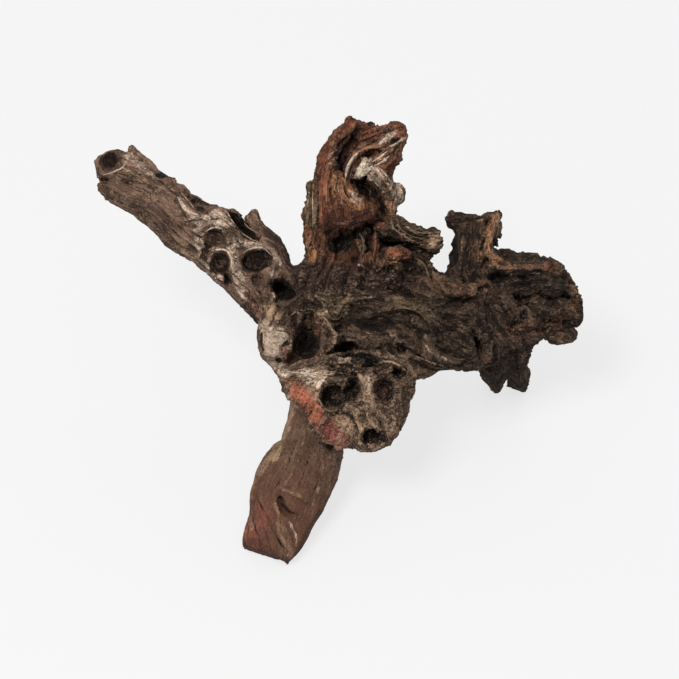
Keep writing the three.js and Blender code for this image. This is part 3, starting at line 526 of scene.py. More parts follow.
STUB_MARKS = [
    stain("purple", 0.8, 6, (71, 62), (73, 52), (71, 42)),
    stain("brown", 0.8, 6, (78, 68), (82, 58), (84, 48)),
    stain("tan", 0.95, 5.5, (96, 76), (92, 68), (90, 60), (92, 52), (100, 47), (110, 45.5)),
    stain("orange", 0.45, 5, (96, 76), (92, 68), (90, 60), (92, 52), (100, 47), (110, 45.5)),
    stain("tan", 0.6, 2.4, (71, 78), (78, 78)),
    stain("orange", 0.6, 3, (85, 75), (91, 77)),
    stain("black", 0.6, 1.6, (79, 77), (84, 73)),
    # painted shadow under the stub's head
    stain("black", 0.55, 3, (69, 66), (78, 65), (86, 64)),
    ridge("pale", 0.9, 0.8, (70, 74), (76, 76.5), (84, 76)),
    ridge("orange", 1.2, 1.0, (84, 66), (85, 56), (88, 46)),
    ridge("tan", 1.0, 0.8, (77, 64), (76, 54), (75, 44)),
    crack(1.0, 1.2, (80, 66), (79, 56), (81, 46)),
    crack(0.9, 1.0, (73, 62), (73, 52), (71, 44)),
    stain("orange", 0.6, 3.6, (99, 50), (106, 47), (112, 43)),
    stain("red", 0.4, 6, (70, 75), (78, 77)),
    stain("rind", 0.8, 5.5, (57, 37), (68, 32), (80, 30), (90, 33)),
    ridge("tan", 1.1, 0.9, (99, 78), (97, 70), (94, 62), (95, 55), (102, 50), (112, 46)),
    ridge("orange", 1.0, 0.8, (96, 76), (93, 68), (90, 58), (88, 48)),
    crack(0.8, 0.9, (92, 74), (90, 64), (88, 56)),
    stain("rind", 0.9, 6, (112, 47), (124, 48), (134, 44)),
    stain("rust", 0.35, 5, (112, 48), (124, 48), (132, 46)),
    stain("black", 0.95, 5, (100, 61), (101, 56), (108, 52)),
    crack(0.9, 0.9, (86, 72), (84, 63), (85, 54)),
    crack(0.8, 0.8, (68, 76), (76, 74), (86, 76)),
    crack(0.8, 0.8, (74, 78), (82, 74), (90, 77)),
    ridge("orange", 1.0, 1.0, (60, 40), (66, 34), (76, 31)),
    ridge("olive", 1.0, 0.8, (66, 40), (74, 36), (84, 34)),
    crack(1.2, 1.5, (66, 22), (74, 25), (82, 29), (92, 34)),
    crack(0.9, 1.0, (70, 46), (72, 40), (78, 36)),
    crack(0.9, 0.9, (84, 50), (83, 42), (88, 38)),
    ridge("tan", 0.9, 0.8, (80, 52), (79, 44), (82, 38)),
]


END_MARKS = [
    crack(1.0, 1.4, (108, 28), (116, 26), (124, 27.5), (133, 25.5), (141, 27), (148, 26)),
    crack(0.8, 1.0, (112, 31), (121, 30), (131, 31)),
    ridge("tan", 0.8, 0.9, (117, 24), (122, 23), (128, 22.5)),
    ridge("olive", 1.2, 0.9, (108, 32), (122, 32), (138, 31)),
    stain("orange", 0.35, 3, (143, 36), (148, 30), (149, 24)),
    stain("red", 0.4, 6, (104, 6), (110, 2), (112, -4)),
    stain("red", 0.35, 5, (136, 20), (146, 16)),
    stain("red", 0.35, 4, (134, 6), (142, 4)),
    ridge("red", 1.2, 0.9, (102, 8), (109, 5), (115, 6)),
    ridge("brown", 1.2, 1.0, (109, 8), (114, 8.5), (118.5, 12), (118, 18), (113, 21)),
    crack(1.0, 1.2, (105, 12), (110, 10), (114, 11)),
    crack(1.0, 1.0, (98, 28), (102, 18), (106, 12)),
    stain("black", 0.55, 6, (96, 37), (116, 35), (140, 31)),
    stain("rind", 0.7, 8, (112, 4), (130, 10), (144, 16)),
    crack(0.9, 1.0, (104, 40), (116, 38), (130, 36)),
    crack(0.9, 0.9, (112, 42), (124, 42), (136, 38)),
    ridge("tan", 1.2, 0.8, (106, 44), (118, 42), (130, 40)),
    ridge("brown", 1.3, 0.8, (100, 34), (104, 26), (108, 20)),
    ridge("olive", 1.0, 0.8, (122, 18), (132, 16), (142, 14)),
    crack(0.9, 0.9, (120, 14), (130, 12), (141, 10)),
    crack(0.9, 0.9, (118, 6), (126, 6), (132, 8)),
    ridge("tan", 1.0, 0.7, (90, 12), (98, 4), (104, -4)),
    crack(0.9, 0.9, (92, 22), (96, 12), (102, 2)),
    crack(0.9, 0.8, (88, 30), (90, 20), (92, 10)),
    stain("red", 0.4, 4, (90, -12), (98, -15)),
    stain("black", 0.5, 5, (94, -20), (100, -28)),
    stain("rind", 0.5, 6, (112, -8), (118, -26)),
    crack(1.0, 1.0, (96, -4), (98, -14), (99, -24)),
    crack(0.9, 0.9, (110, -6), (112, -16), (115, -26)),
]


END_HOLES = [
    hole((114.5, 15), (2.4, 3.4), -20, 2.4, 1.2, 0.9),
    hole((99, 40), (6.5, 2.8), 0, 1, 0.6, 0.7),
    hole((38, -5), (4.5, 2.6), -15, 2.5, 0.6, 0.8),
    hole((96, 14), (1.8, 3), 0, 1.2, 0.4, 0.5),
]


LEG_MARKS = [
    stain("tan", 0.85, 4.5, (-31, -40), (-35, -58), (-41, -72)),
    stain("tan", 0.4, 4, (-41, -72), (-50, -82)),
    stain("olive", 0.4, 7, (-26, -60), (-32, -80)),
    stain("orange", 0.6, 3.4, (-54, -86), (-56, -97)),
    stain("wine", 0.45, 11, (-49, -108), (-50, -122), (-49, -132)),
    stain("brick", 0.5, 4, (-57, -98), (-59, -110), (-60, -122)),
    stain("pink", 0.5, 3, (-55, -98), (-56, -108), (-54, -116)),
    stain("tan", 0.4, 6, (-34, -118), (-32, -132)),
    ridge("tan", 1.4, 0.7, (-40, -100), (-37, -110), (-38, -118)),
    crack(1.1, 1.2, (-37, -97), (-35, -103), (-30, -107), (-26, -108)),
    ridge("tan", 1.6, 0.6, (-36, -92), (-28, -94), (-20, -100)),
    crack(0.7, 0.5, (-27, -62), (-32, -78), (-40, -92)),
    crack(0.6, 0.4, (-18, -70), (-22, -84), (-26, -92)),
    crack(0.6, 0.4, (-12, -76), (-13, -88), (-18, -98)),
    ridge("tan", 1.3, 0.5, (-22, -64), (-28, -80), (-34, -90)),
    ridge("tan", 1.2, 0.5, (-10, -78), (-12, -90), (-17, -102)),
    crack(0.8, 0.8, (-50, -100), (-44, -110), (-39, -120), (-34, -128)),
    crack(0.6, 0.5, (-54, -110), (-50, -120), (-48, -131)),
    crack(0.6, 0.5, (-49, -108), (-45, -118), (-42, -130)),
    crack(0.6, 0.5, (-33, -112), (-30, -120), (-28, -128)),
    ridge("pale", 1.0, 0.5, (-31, -112), (-27, -120), (-27, -128)),
    ridge("tan", 1.0, 0.6, (-36, -118), (-33, -126), (-34, -136)),
]


# Where the fine surface stands elsewhere than the plain solid.
RESHAPING = [
    swell(6, (0, 0, 5), (11, 128), (5, 123), (1.5, 116), (1, 107)),
    swell(8, (0, 0, -3), (26, 78)),
    swell(4, (0, 0, 2.5), (106, 29), (113, 26), (121, 28), (129, 25), (137, 27), (147, 25)),
    swell(9, (0, 0, 2), (86, 66), (86, 54), (90, 46)),
    swell(5, (2, 0, -3), (69, 62), (69, 48)),
    swell(6, (-2, 0, 2), (68, 74)),
    swell(5, (0, -2, 0), (80, 81)),
    swell(4.5, (-3, 2, -3), (99, 59), (98, 57)),
    swell(6, (0, 0, 3), (60, 36), (72, 31), (84, 29)),
    swell(4, (0, 0, 3), (40, 58), (50, 55)),
    swell(5, (0, 0, -3), (0, -6), (16, -8), (30, -8)),
    swell(9, (0, 0, 2), (-4, 24), (8, 27), (22, 28)),
    swell(9, (0, 0, -2), (14, 10), (26, 8)),
    swell(8, (0, 0, 2.5), (36, 20), (48, 18)),
    swell(8, (0, 0, -1.5), (48, 2), (42, -4)),
    swell(7, (0, 0, 2), (56, -10), (68, -12)),
    swell(7, (0, 0, 2), (92, 0), (100, 8)),
    swell(7, (0, 0, 2), (120, 36), (132, 34)),
    # the outline of the burl, the prongs, the crown and the arm
    swell(7, (-3, -2, 0), (-17, -49), (-12, -56), (-4, -63)),
    swell(8, (2.5, -1, 0), (114, -24), (117, -31)),
    swell(7, (2, -1.5, 0), (97, -27), (101, -33)),
    swell(5, (0, 2, 0), (8, 137)),
    swell(6, (0, -2, 0), (19, 137), (24, 136)),
    swell(5, (-1, -2, 0), (38, 138)),
    swell(4, (0, 2, 0), (-98, 94)),
    swell(5, (-1, -2, 0), (-82, 88)),
    swell(4, (0, 2.5, 0), (-54, 79)),
    swell(4, (2, -1.5, 0), (-106, 57), (-103, 54)),
    swell(4, (-3, 1, 0), (145, 9)),
    swell(6, (1, 2, 0), (60, 69)),
    swell(6, (0, -2, 2), (60, 56)),
    swell(5, (0, 2, 0), (130, -2)),
]


CRUMBLING = [
    rubble(2.2, 13, (4, -13), (18, -14), (36, -18)),
    rubble(1.3, 14, (-14, -24), (-4, -27)),
    rubble(1.3, 14, (8, -46), (24, -50)),
    rubble(1.4, 10, (22, 50), (34, 52), (46, 50)),
    rubble(1.2, 8, (40, 71), (50, 68), (62, 68)),
    rubble(1.5, 9, (70, 74), (82, 75), (91, 76)),
    rubble(1.8, 8, (-98, 85), (-91, 79)),
    rubble(1.7, 9, (-60, 74), (-50, 73)),
    rubble(1.6, 7, (-114, 104), (-98, 92), (-84, 86)),
    rubble(1.4, 7, (-150, 106), (-148, 92)),
    rubble(1.3, 6, (-134, 118), (-124, 114)),
    rubble(1.0, 5, (-128, 79), (-96, 50), (-62, 23)),
    rubble(1.4, 6, (34, 66), (46, 60), (60, 58)),
    rubble(1.3, 9, (4, 132), (12, 133)),
    rubble(1.6, 12, (34, 6), (46, -2), (60, -10)),
    rubble(1.2, 14, (60, -14), (80, -8)),
    rubble(1.6, 9, (98, 34), (116, 28), (146, 26)),
    rubble(2.0, 12, (4, 36), (24, 35), (40, 36)),
    rubble(1.0, 6, (-57, -100), (-59, -122), (-58, -132)),
]


# The crisp curved fibres and splinters of the torn places.
LOOSE_STRIPS = [
    strip("pale", 1.0, 1.1, (3.6, 99), (4.4, 104), (6.2, 109), (9, 113.5), (12, 116)),
    strip("orange", 1.0, 1.0, (11, 116), (16, 118.5), (21, 119.5), (26, 119)),
    strip("tan", 0.6, 0.9, (6.5, 100), (7.4, 105), (9.6, 110)),
    strip("bleached", 2.4, 1.3, (11, 101.5), (13.5, 105.5), (16, 111)),
    strip("bleached", 1.7, 1.5, (13, 101), (17, 104.5), (20.5, 107.5)),
    strip("pale", 1.2, 1.0, (10, 104), (14, 103.5), (20, 105.5)),
    strip("pale", 0.7, 1.1, (20, 110), (25, 113), (30, 117)),
    strip("pale", 0.6, 0.9, (21, 107.5), (26, 110), (31, 114)),
    strip("tan", 0.6, 0.9, (21, 112), (25, 114.5), (29, 118)),
    strip("pale", 1.2, 1.0, (24.5, 120.5), (27, 123.5), (30.5, 126.5)),
    strip("tan", 0.7, 0.9, (23, 121.5), (26, 125), (29, 127.5)),
    strip("pale", 0.6, 0.9, (31, 119), (35, 121.5), (39, 124.5)),
    strip("tan", 0.6, 0.8, (30, 127), (34, 129.5), (37, 130.5)),
    strip("rust", 0.6, 0.8, (13, 128), (20, 131), (28, 133), (35, 133.5)),
    strip("rust", 0.6, 0.8, (14, 124.5), (21, 127.5), (28, 130)),
    strip("tan", 0.6, 0.8, (21, 105), (25, 101), (29, 96)),
    strip("olive", 0.7, 0.8, (17, 104), (21, 100), (26, 94)),
    strip("pale", 0.5, 0.8, (24, 107), (28, 103), (31, 98.5)),
    strip("tan", 0.5, 0.7, (-8, 113), (-6, 115), (-3, 117)),
    strip("tan", 0.5, 0.8, (31.5, 75), (33, 70), (37, 66), (43, 62.5), (49, 60)),
    strip("olive", 0.5, 0.8, (36, 72), (39, 67.5), (45, 64), (53, 62.5)),
    strip("tan", 0.4, 0.8, (45, 68), (52, 66), (60, 67)),
    strip("tan", 0.4, 0.7, (46, 59.5), (52, 57.5), (58, 56)),
    strip("tan", 0.7, 1.0, (24, -14.5), (30, -13.5), (36, -15.5), (41, -19.5)),
    strip("tan", 0.5, 0.8, (29, -7), (32, -10.5), (36, -13)),
    strip("tan", 0.5, 0.8, (-14, 17), (-9, 13), (-5, 7), (-2, 1.5), (-4, -3)),
    strip("tan", 0.5, 0.8, (30, 5), (32.5, 3), (35.5, 1.5), (35, -1.5)),
    strip("olive", 0.5, 0.8, (53, -2), (56, -6.5), (60, -10), (65, -12.5)),
    # on the arm: the rims of the cups and of the long hollow, and the torn flake
    strip("pale", 0.6, 0.9, (-83, 67), (-78, 69.5), (-72, 68.5)),
    strip("pale", 0.6, 0.9, (-80, 52), (-76, 55.5), (-70, 55), (-67, 50), (-67, 44)),
    strip("pale", 0.6, 0.9, (-59, 54), (-54, 56.5), (-47, 56.5), (-42, 52)),
    strip("pale", 1.2, 1.3, (-101, 89), (-97, 83), (-93, 79), (-87, 77)),
    strip("tan", 0.6, 0.9, (-99, 92), (-94, 86), (-90, 81)),
    strip("pale", 0.6, 0.9, (-70, 80), (-67, 74), (-62, 67.5), (-55, 62.5), (-48, 60)),
    strip("tan", 0.6, 0.9, (-60, 74), (-57, 70), (-50, 66)),
    strip("pale", 0.5, 0.7, (-148, 103), (-142, 104.5), (-135, 108), (-131, 116)),
    strip("pale", 0.6, 0.7, (-45, 6), (-39, 4.5), (-33, 3.5), (-29.5, -1)),
    # on the trunk and its right end
    strip("olive", 0.7, 0.9, (-15, 27), (-10, 22), (-8.5, 15), (-3.5, 12.5), (0.5, 14), (2, 20)),
    strip("olive", 0.6, 0.8, (30, 17.5), (38, 19.5), (48, 17.5), (56, 10)),
    strip("tan", 0.5, 0.7, (44, -9), (54, -13), (66, -17)),
    strip("olive", 0.5, 0.7, (62, -8), (72, -12), (80, -12)),
    strip("orange", 0.6, 0.8, (98, 77), (95.5, 68), (92.5, 60), (94.5, 53), (103, 48.5), (112, 45)),
    # on the burl
    strip("pale", 0.5, 0.7, (-34, -19), (-24, -20.5), (-12, -21), (-4, -21.5)),
    strip("tan", 0.6, 0.8, (-12, -30), (-13, -36), (-8, -43), (-2, -44)),
    strip("tan", 0.6, 0.8, (14, -24), (15.5, -32), (13.5, -39)),
    strip("tan", 0.5, 0.8, (19.5, -26), (19, -34), (22, -40)),
    # on the hood and the flap
    strip("rust", 0.6, 0.8, (-11, 84), (-11, 98), (-9, 110), (-3, 122)),
    strip("orange", 0.5, 0.7, (-8, 82), (-8, 96), (-6, 106)),
    strip("olive", 0.6, 0.9, (-19, 94), (-19, 82), (-20, 70)),
    strip("pale", 0.4, 0.7, (-17, 92), (-16.5, 80), (-17, 70)),
    strip("orange", 0.5, 0.8, (1, 98), (3, 90), (8, 84)),
    strip("tan", 0.5, 0.8, (9, 99), (11, 92), (16, 86)),
    strip("orange", 0.5, 0.8, (28, 44), (33, 48), (40, 46)),
    strip("olive", 0.6, 0.9, (13, 66), (15, 59), (14, 51)),
    strip("rust", 0.6, 0.8, (21, 66), (22.5, 59), (21, 51)),
    strip("olive", 0.6, 0.8, (46, 51), (52, 47), (56, 39)),
]


ALL_MARKS = [
    *ARM_MARKS, *TRUNK_MARKS, *END_MARKS, *STUB_MARKS, *LEG_MARKS,
    *BURL_MARKS, *KNOB_MARKS, *FLAP_MARKS, *HOOD_MARKS,
]


ALL_HOLES = [*ARM_HOLES, *END_HOLES, *BURL_HOLES, *KNOB_HOLES, *HOOD_HOLES]


# The colours of the marks, in the order in which the material lays them on
TINTS = (
    "brown", "tan", "rind", "olive", "purple", "red", "rust",
    "brick", "wine", "orange", "pink", "pale", "black",
)


# The surface as arrays


class Skin:
    """The fine surface of the wood: the places of its points in the view, and their neighbours."""

    def __init__(self, mesh):
        self.mesh = mesh
        self.count = len(mesh.vertices)
        self.places = view_places(mesh)
        self.near = self.neighbours()
        self.layers = {tint: np.zeros(self.count) for tint in TINTS}

    def neighbours(self):
        """For each point its neighbours along edges, filled up with the point itself."""
        mesh = self.mesh
        edges = np.empty(len(mesh.edges) * 2, np.int32)
        mesh.edges.foreach_get("vertices", edges)
        pairs = edges.reshape(-1, 2)
        pairs = np.concatenate((pairs, pairs[:, ::-1]))
        pairs = pairs[np.argsort(pairs[:, 0], kind="stable")]
        first = np.searchsorted(pairs[:, 0], np.arange(self.count))
        rank = np.arange(len(pairs)) - first[pairs[:, 0]]
        near = np.repeat(np.arange(self.count)[:, None], rank.max() + 2, axis=1)
        near[pairs[:, 0], rank] = pairs[:, 1]
        return near

    def write(self):
        """Moves the mesh's points to their places."""
        self.mesh.vertices.foreach_set("co", to_world(self.places).astype(np.float32).ravel())
        self.mesh.update()

    def normals(self):
        """The ways that the surface faces, in the view."""
        self.write()
        flat = np.empty(self.count * 3, np.float32)
        self.mesh.vertex_normals.foreach_get("vector", flat)
        return flat.reshape(-1, 3).astype(float) @ VIEW_AXES.T

    def smooth(self, values, times):
        for _ in range(times):
            values = values[self.near].mean(axis=1)
        return values

    def relax(self, times, inward=0.6, outward=-0.63):
        """Takes out the flat facets and keeps the size."""
        for _ in range(times):
            for share in (inward, outward):
                self.places += share * (self.places[self.near].mean(axis=1) - self.places)

    def rough(self, size, seed, octaves=2):
        """Noise between about -1 and 1, with swellings of a size in millimetres."""
        shift = Vector((seed, 2.3 * seed, -1.7 * seed))
        points = (self.places / size).tolist()
        return np.array([noise.fractal(Vector(p) + shift, 1, 2, octaves) for p in points])

    def scatter(self, size, *seeds):
        """Noise with a share for each seed, to shift places in the view."""
        return np.stack([self.rough(size, seed) for seed in seeds], axis=1)

    def in_sight(self):
        return in_sight(self.places)


def in_sight(places, cell=1.8, slack=5):
    """1 where the viewer sees the surface and 0 where other wood hides it."""
    column = np.floor(places[:, :2] / cell).astype(int)
    column -= column.min(axis=0) - 1
    nearest = np.full(column.max(axis=0) + 2, -1e9)
    np.maximum.at(nearest, (column[:, 0], column[:, 1]), places[:, 2])
    hidden = nearest[column[:, 0], column[:, 1]] - places[:, 2]
    return 1 - smoothstep(slack, 2 * slack, hidden)


def to_world(places):
    """Places of the view, in millimetres, as places of the world in metres."""
    return places * MM @ VIEW_AXES + np.array(VIEW_ORIGIN)


def to_view(world):
    return (world - np.array(VIEW_ORIGIN)) @ VIEW_AXES.T / MM


def view_places(mesh):
    """The places of a mesh's points in the view."""
    flat = np.empty(len(mesh.vertices) * 3, np.float32)
    mesh.vertices.foreach_get("co", flat)
    return to_view(flat.reshape(-1, 3).astype(float))


def along(points, line):
    """How far each point is from a line of the view, and which way the line runs there."""
    best = np.full(len(points), 1e9)
    way = np.zeros((len(points), 2))
    line = np.array(line if len(line) > 1 else (line[0], line[0]), float)
    for start, end in zip(line, line[1:]):
        step = end - start
        share = np.clip((points - start) @ step / max(step @ step, 1e-9), 0, 1)
        gap = np.linalg.norm(points - start - share[:, None] * step, axis=1)
        closer = gap < best
        best[closer] = gap[closer]
        way[closer] = step / max(np.linalg.norm(step), 1e-9)
    return best, way


def turned(points, middle, radii, tilt):
    """Places in a hole's own frame, where its rim is at 1."""
    angle = math.radians(tilt)
    gap = points - np.array(middle)
    x = gap[:, 0] * math.cos(angle) + gap[:, 1] * math.sin(angle)
    y = gap[:, 1] * math.cos(angle) - gap[:, 0] * math.sin(angle)
    return np.stack((x / radii[0], y / radii[1]), axis=1)


def limb_shares(skin):
    """How much each point belongs to each limb, and the way that the limbs' grain runs there."""
    shares = {}
    grain = np.zeros((skin.count, 3, 3))
    for name, (reach, *line) in LIMBS.items():
        best = np.full(skin.count, 1e9)
        way = np.zeros((skin.count, 3))
        line = np.array(line, float)
        for start, end in zip(line, line[1:]):
            step = end - start
            share = np.clip((skin.places - start) @ step / (step @ step), 0, 1)
            gap = np.linalg.norm(skin.places - start - share[:, None] * step, axis=1)
            closer = gap < best
            best[closer] = gap[closer]
            way[closer] = step / np.linalg.norm(step)
        pull = (reach / (best + 1)) ** LIMB_PULL_POWER
        shares[name] = pull
        grain += pull[:, None, None] * way[:, :, None] * way[:, None, :]
    total = sum(shares.values())
    for name in shares:
        shares[name] = shares[name] / total
    return shares, grain / total[:, None, None]


def grain_way(skin, grain, normals, seen, wander):
    """The way that the fibres run: along the limbs and the marks, round the holes and a little astray."""
    flat = skin.places[:, :2] + wander
    for item in ALL_MARKS:
        if not item["height"] or len(item["line"]) < 2:
            continue
        gap, way = along(flat, item["line"])
        pull = MARK_PULL * seen * np.exp(-((gap / (item["width"] + 3)) ** 2))
        step = np.concatenate((way, np.zeros((skin.count, 1))), axis=1)
        grain += pull[:, None, None] * step[:, :, None] * step[:, None, :]
    for item in ALL_HOLES:
        place = turned(flat, item["middle"], item["radii"], item["tilt"])
        away = np.linalg.norm(place, axis=1)
        pull = HOLE_PULL * seen * np.exp(-(((away - 1.1) / 0.5) ** 2))
        gap = flat - np.array(item["middle"])
        step = np.stack((-gap[:, 1], gap[:, 0], np.zeros(skin.count)), axis=1)
        step /= np.linalg.norm(step, axis=1)[:, None] + 1e-9
        grain += pull[:, None, None] * step[:, :, None] * step[:, None, :]
    grain = skin.smooth(grain.reshape(-1, 9), 4).reshape(-1, 3, 3)
    across = np.eye(3) - normals[:, :, None] * normals[:, None, :]
    way = np.linalg.eigh(across @ grain @ across)[1][:, :, 2]
    astray = 0.55 * skin.rough(size=11, seed=3.1)
    return way * np.cos(astray)[:, None] + np.cross(normals, way) * np.sin(astray)[:, None]


def fibres(skin, way, normals, seeds, steps, stride):
    """Smears the seeds along the grain, so that they become fibres."""
    rows = np.arange(skin.count)
    total = seeds.copy()
    for direction in (1, -1):
        here = rows
        heading = direction * way
        point = skin.places.copy()
        for _ in range(steps):
            point = point + stride * heading
            near = skin.near[here]
            gap = ((skin.places[near] - point[:, None]) ** 2).sum(axis=2)
            here = near[rows, gap.argmin(axis=1)]
            off = ((point - skin.places[here]) * normals[here]).sum(axis=1)
            point = point - off[:, None] * normals[here]
            turn = np.sign((way[here] * heading).sum(axis=1) + 1e-9)
            heading = way[here] * turn[:, None]
            total += seeds[here]
    total -= total.mean(axis=0)
    return total / total.std(axis=0)


def openness(skin, normals, node, rays=10, clear=1.6 * MM, reach=22 * MM):
    """The share of short rays from each point that meet no other wood."""
    mesh = node.data
    tree = BVHTree.FromPolygons([v.co for v in mesh.vertices], [tuple(p.vertices) for p in mesh.polygons])
    turn = (1 + math.sqrt(5)) / 2
    spread = []
    for n in range(rays):
        height = (n + 0.5) / rays
        angle = 2 * math.pi * n / turn
        width = math.sqrt(1 - height * height)
        spread.append((width * math.cos(angle), width * math.sin(angle), height))
    spread = np.array(spread)
    world = to_world(skin.places)
    out = normals @ VIEW_AXES
    side = np.cross(out, np.where(np.abs(out[:, 2:3]) < 0.9, (0, 0, 1), (1, 0, 0)))
    side /= np.linalg.norm(side, axis=1)[:, None]
    other = np.cross(out, side)
    free = np.zeros(skin.count)
    starts = [Vector(p) for p in world + clear * out]
    for a, b, c in spread:
        ways = [Vector(w) for w in a * side + b * other + c * out]
        free += [tree.ray_cast(start, way, reach)[0] is None for start, way in zip(starts, ways)]
    return skin.smooth(free / rays, 2)


# Shader maths


class Wire:
    """A socket of a shader, which can stand in sums."""

    def __init__(self, shader, socket):
        self.shader = shader
        self.socket = socket

    def maths(self, operation, first, second):
        node = self.shader.node("ShaderNodeMath", {"operation": operation}, {0: first, 1: second})
        return Wire(self.shader, node.outputs[0])

    def __add__(self, other):
        return self.maths("ADD", self, other)

    __radd__ = __add__

    def __sub__(self, other):
        return self.maths("SUBTRACT", self, other)

    def __rsub__(self, other):
        return self.maths("SUBTRACT", other, self)

    def __mul__(self, other):
        return self.maths("MULTIPLY", self, other)

    __rmul__ = __mul__


class Shader:
    """A material that is built from nodes."""

    def __init__(self, name):
        self.material = bpy.data.materials.new(name)
        self.material.use_nodes = True
        self.tree = self.material.node_tree
        self.surface = self.tree.nodes["Principled BSDF"]

    def node(self, kind, settings, inputs):
        """A node: its type, its settings and what goes into its sockets."""
        node = self.tree.nodes.new(kind)
        for name, value in settings.items():
            setattr(node, name, value)
        for name, value in inputs.items():
            self.feed(node, name, value)
        return node

    def feed(self, node, name, value):
        if isinstance(name, int):
            socket = node.inputs[name]
        else:
            socket = next(s for s in node.inputs if s.name == name and s.enabled)
        if isinstance(value, Wire):
            self.tree.links.new(value.socket, socket)
        else:
            socket.default_value = value

    def out(self, node, name):
        return Wire(self, next(s for s in node.outputs if s.name == name and s.enabled))

    def attribute(self, name):
        return self.out(self.node("ShaderNodeAttribute", {"attribute_name": name}, {}), "Fac")

    def places(self):
        return self.out(self.node("ShaderNodeTexCoord", {}, {}), "Object")

    def speckle(self, places, size, detail=2.0, roughness=0.55):
        inputs = {"Vector": places, "Scale": 1 / size, "Detail": detail, "Roughness": roughness}
        return self.out(self.node("ShaderNodeTexNoise", {}, inputs), "Fac")

    def grained(self, places, way, length, width):
        """Noise that is drawn out along a way."""
        turn = Vector(way).to_track_quat("X", "Z").to_euler()
        inputs = {"Vector": places, "Rotation": turn, "Scale": (length, width, width)}
        mapped = self.out(self.node("ShaderNodeMapping", {"vector_type": "TEXTURE"}, inputs), "Vector")
        return self.speckle(mapped, size=1, detail=3.0, roughness=0.6)

    def pores(self, places, size):
        inputs = {"Vector": places, "Scale": 1 / size, "Randomness": 1.0}
        return self.out(self.node("ShaderNodeTexVoronoi", {"feature": "F1"}, inputs), "Distance")

    def ramp(self, value, low, high, to_low=0.0, to_high=1.0):
        inputs = {"Value": value, "From Min": low, "From Max": high, "To Min": to_low, "To Max": to_high}
        node = self.node("ShaderNodeMapRange", {"interpolation_type": "SMOOTHSTEP"}, inputs)
        return self.out(node, "Result")

    def blend(self, first, second, share):
        inputs = {"Factor": share, "A": first, "B": second}
        return self.out(self.node("ShaderNodeMix", {"data_type": "RGBA"}, inputs), "Result")

    def scaled(self, colour, amount):
        node = self.node("ShaderNodeVectorMath", {"operation": "SCALE"}, {0: colour, "Scale": amount})
        return self.out(node, "Vector")

    def mix(self, first, second, share):
        inputs = {"Factor": share, "A": first, "B": second}
        return self.out(self.node("ShaderNodeMix", {"data_type": "FLOAT"}, inputs), "Result")

    def raise_bumps(self, height, strength, distance):
        inputs = {"Strength": strength, "Distance": distance, "Height": height}
        bump = self.node("ShaderNodeBump", {}, inputs)
        self.feed(self.surface, "Normal", self.out(bump, "Normal"))


def opaque(colour):
    return (*colour, 1.0)


def limb_looks(wood, places, colours):
    """Each limb's own colour, and noise that is drawn out along each limb."""
    limbs = {
        "arm": colours.arm,
        "leg": colours.leg,
        "hood": colours.hood,
        "burl": colours.burl,
        "stub": colours.trunk,
        "prongs": colours.trunk,
    }
    colour = opaque(colours.trunk)
    grain = wood.grained(places, RIGHT, GRAIN_LENGTH, GRAIN_WIDTH)
    for name, own in limbs.items():
        share = wood.attribute(name)
        colour = wood.blend(colour, opaque(own), share)
        line = LIMBS[name][1:]
        way = np.array(line[-1], float) - np.array(line[0], float)
        drawn = wood.grained(places, way @ VIEW_AXES, GRAIN_LENGTH, GRAIN_WIDTH)
        grain = wood.mix(grain, drawn, share)
    return colour, wood.ramp(grain, 0.33, 0.67)


def stained(wood, colour, colours, ragged):
    """The marks' colours and the painted shade inside the holes, with ragged edges."""
    for tint in TINTS:
        mask = wood.attribute(tint)
        share = wood.ramp(mask + 1.2 * ragged * mask, 0.16, 0.8)
        colour = wood.blend(colour, opaque(getattr(colours, tint)), share)
    painted_hole_shade = wood.attribute("painted_hole_shade")
    inside = wood.ramp(wood.attribute("hollow") + 0.5 * ragged, 0.4, 0.6)
    colour = wood.blend(colour, opaque(colours.hollow), inside * wood.ramp(painted_hole_shade, 0.0, 0.5))
    colour = wood.blend(colour, opaque(colours.black), inside * wood.ramp(painted_hole_shade, 0.45, 1.0))
    worn = wood.ramp(wood.attribute("edge") + ragged * 0.7, 0.25, 1.1)
    return wood.blend(colour, opaque(colours.worn), worn * 0.5)


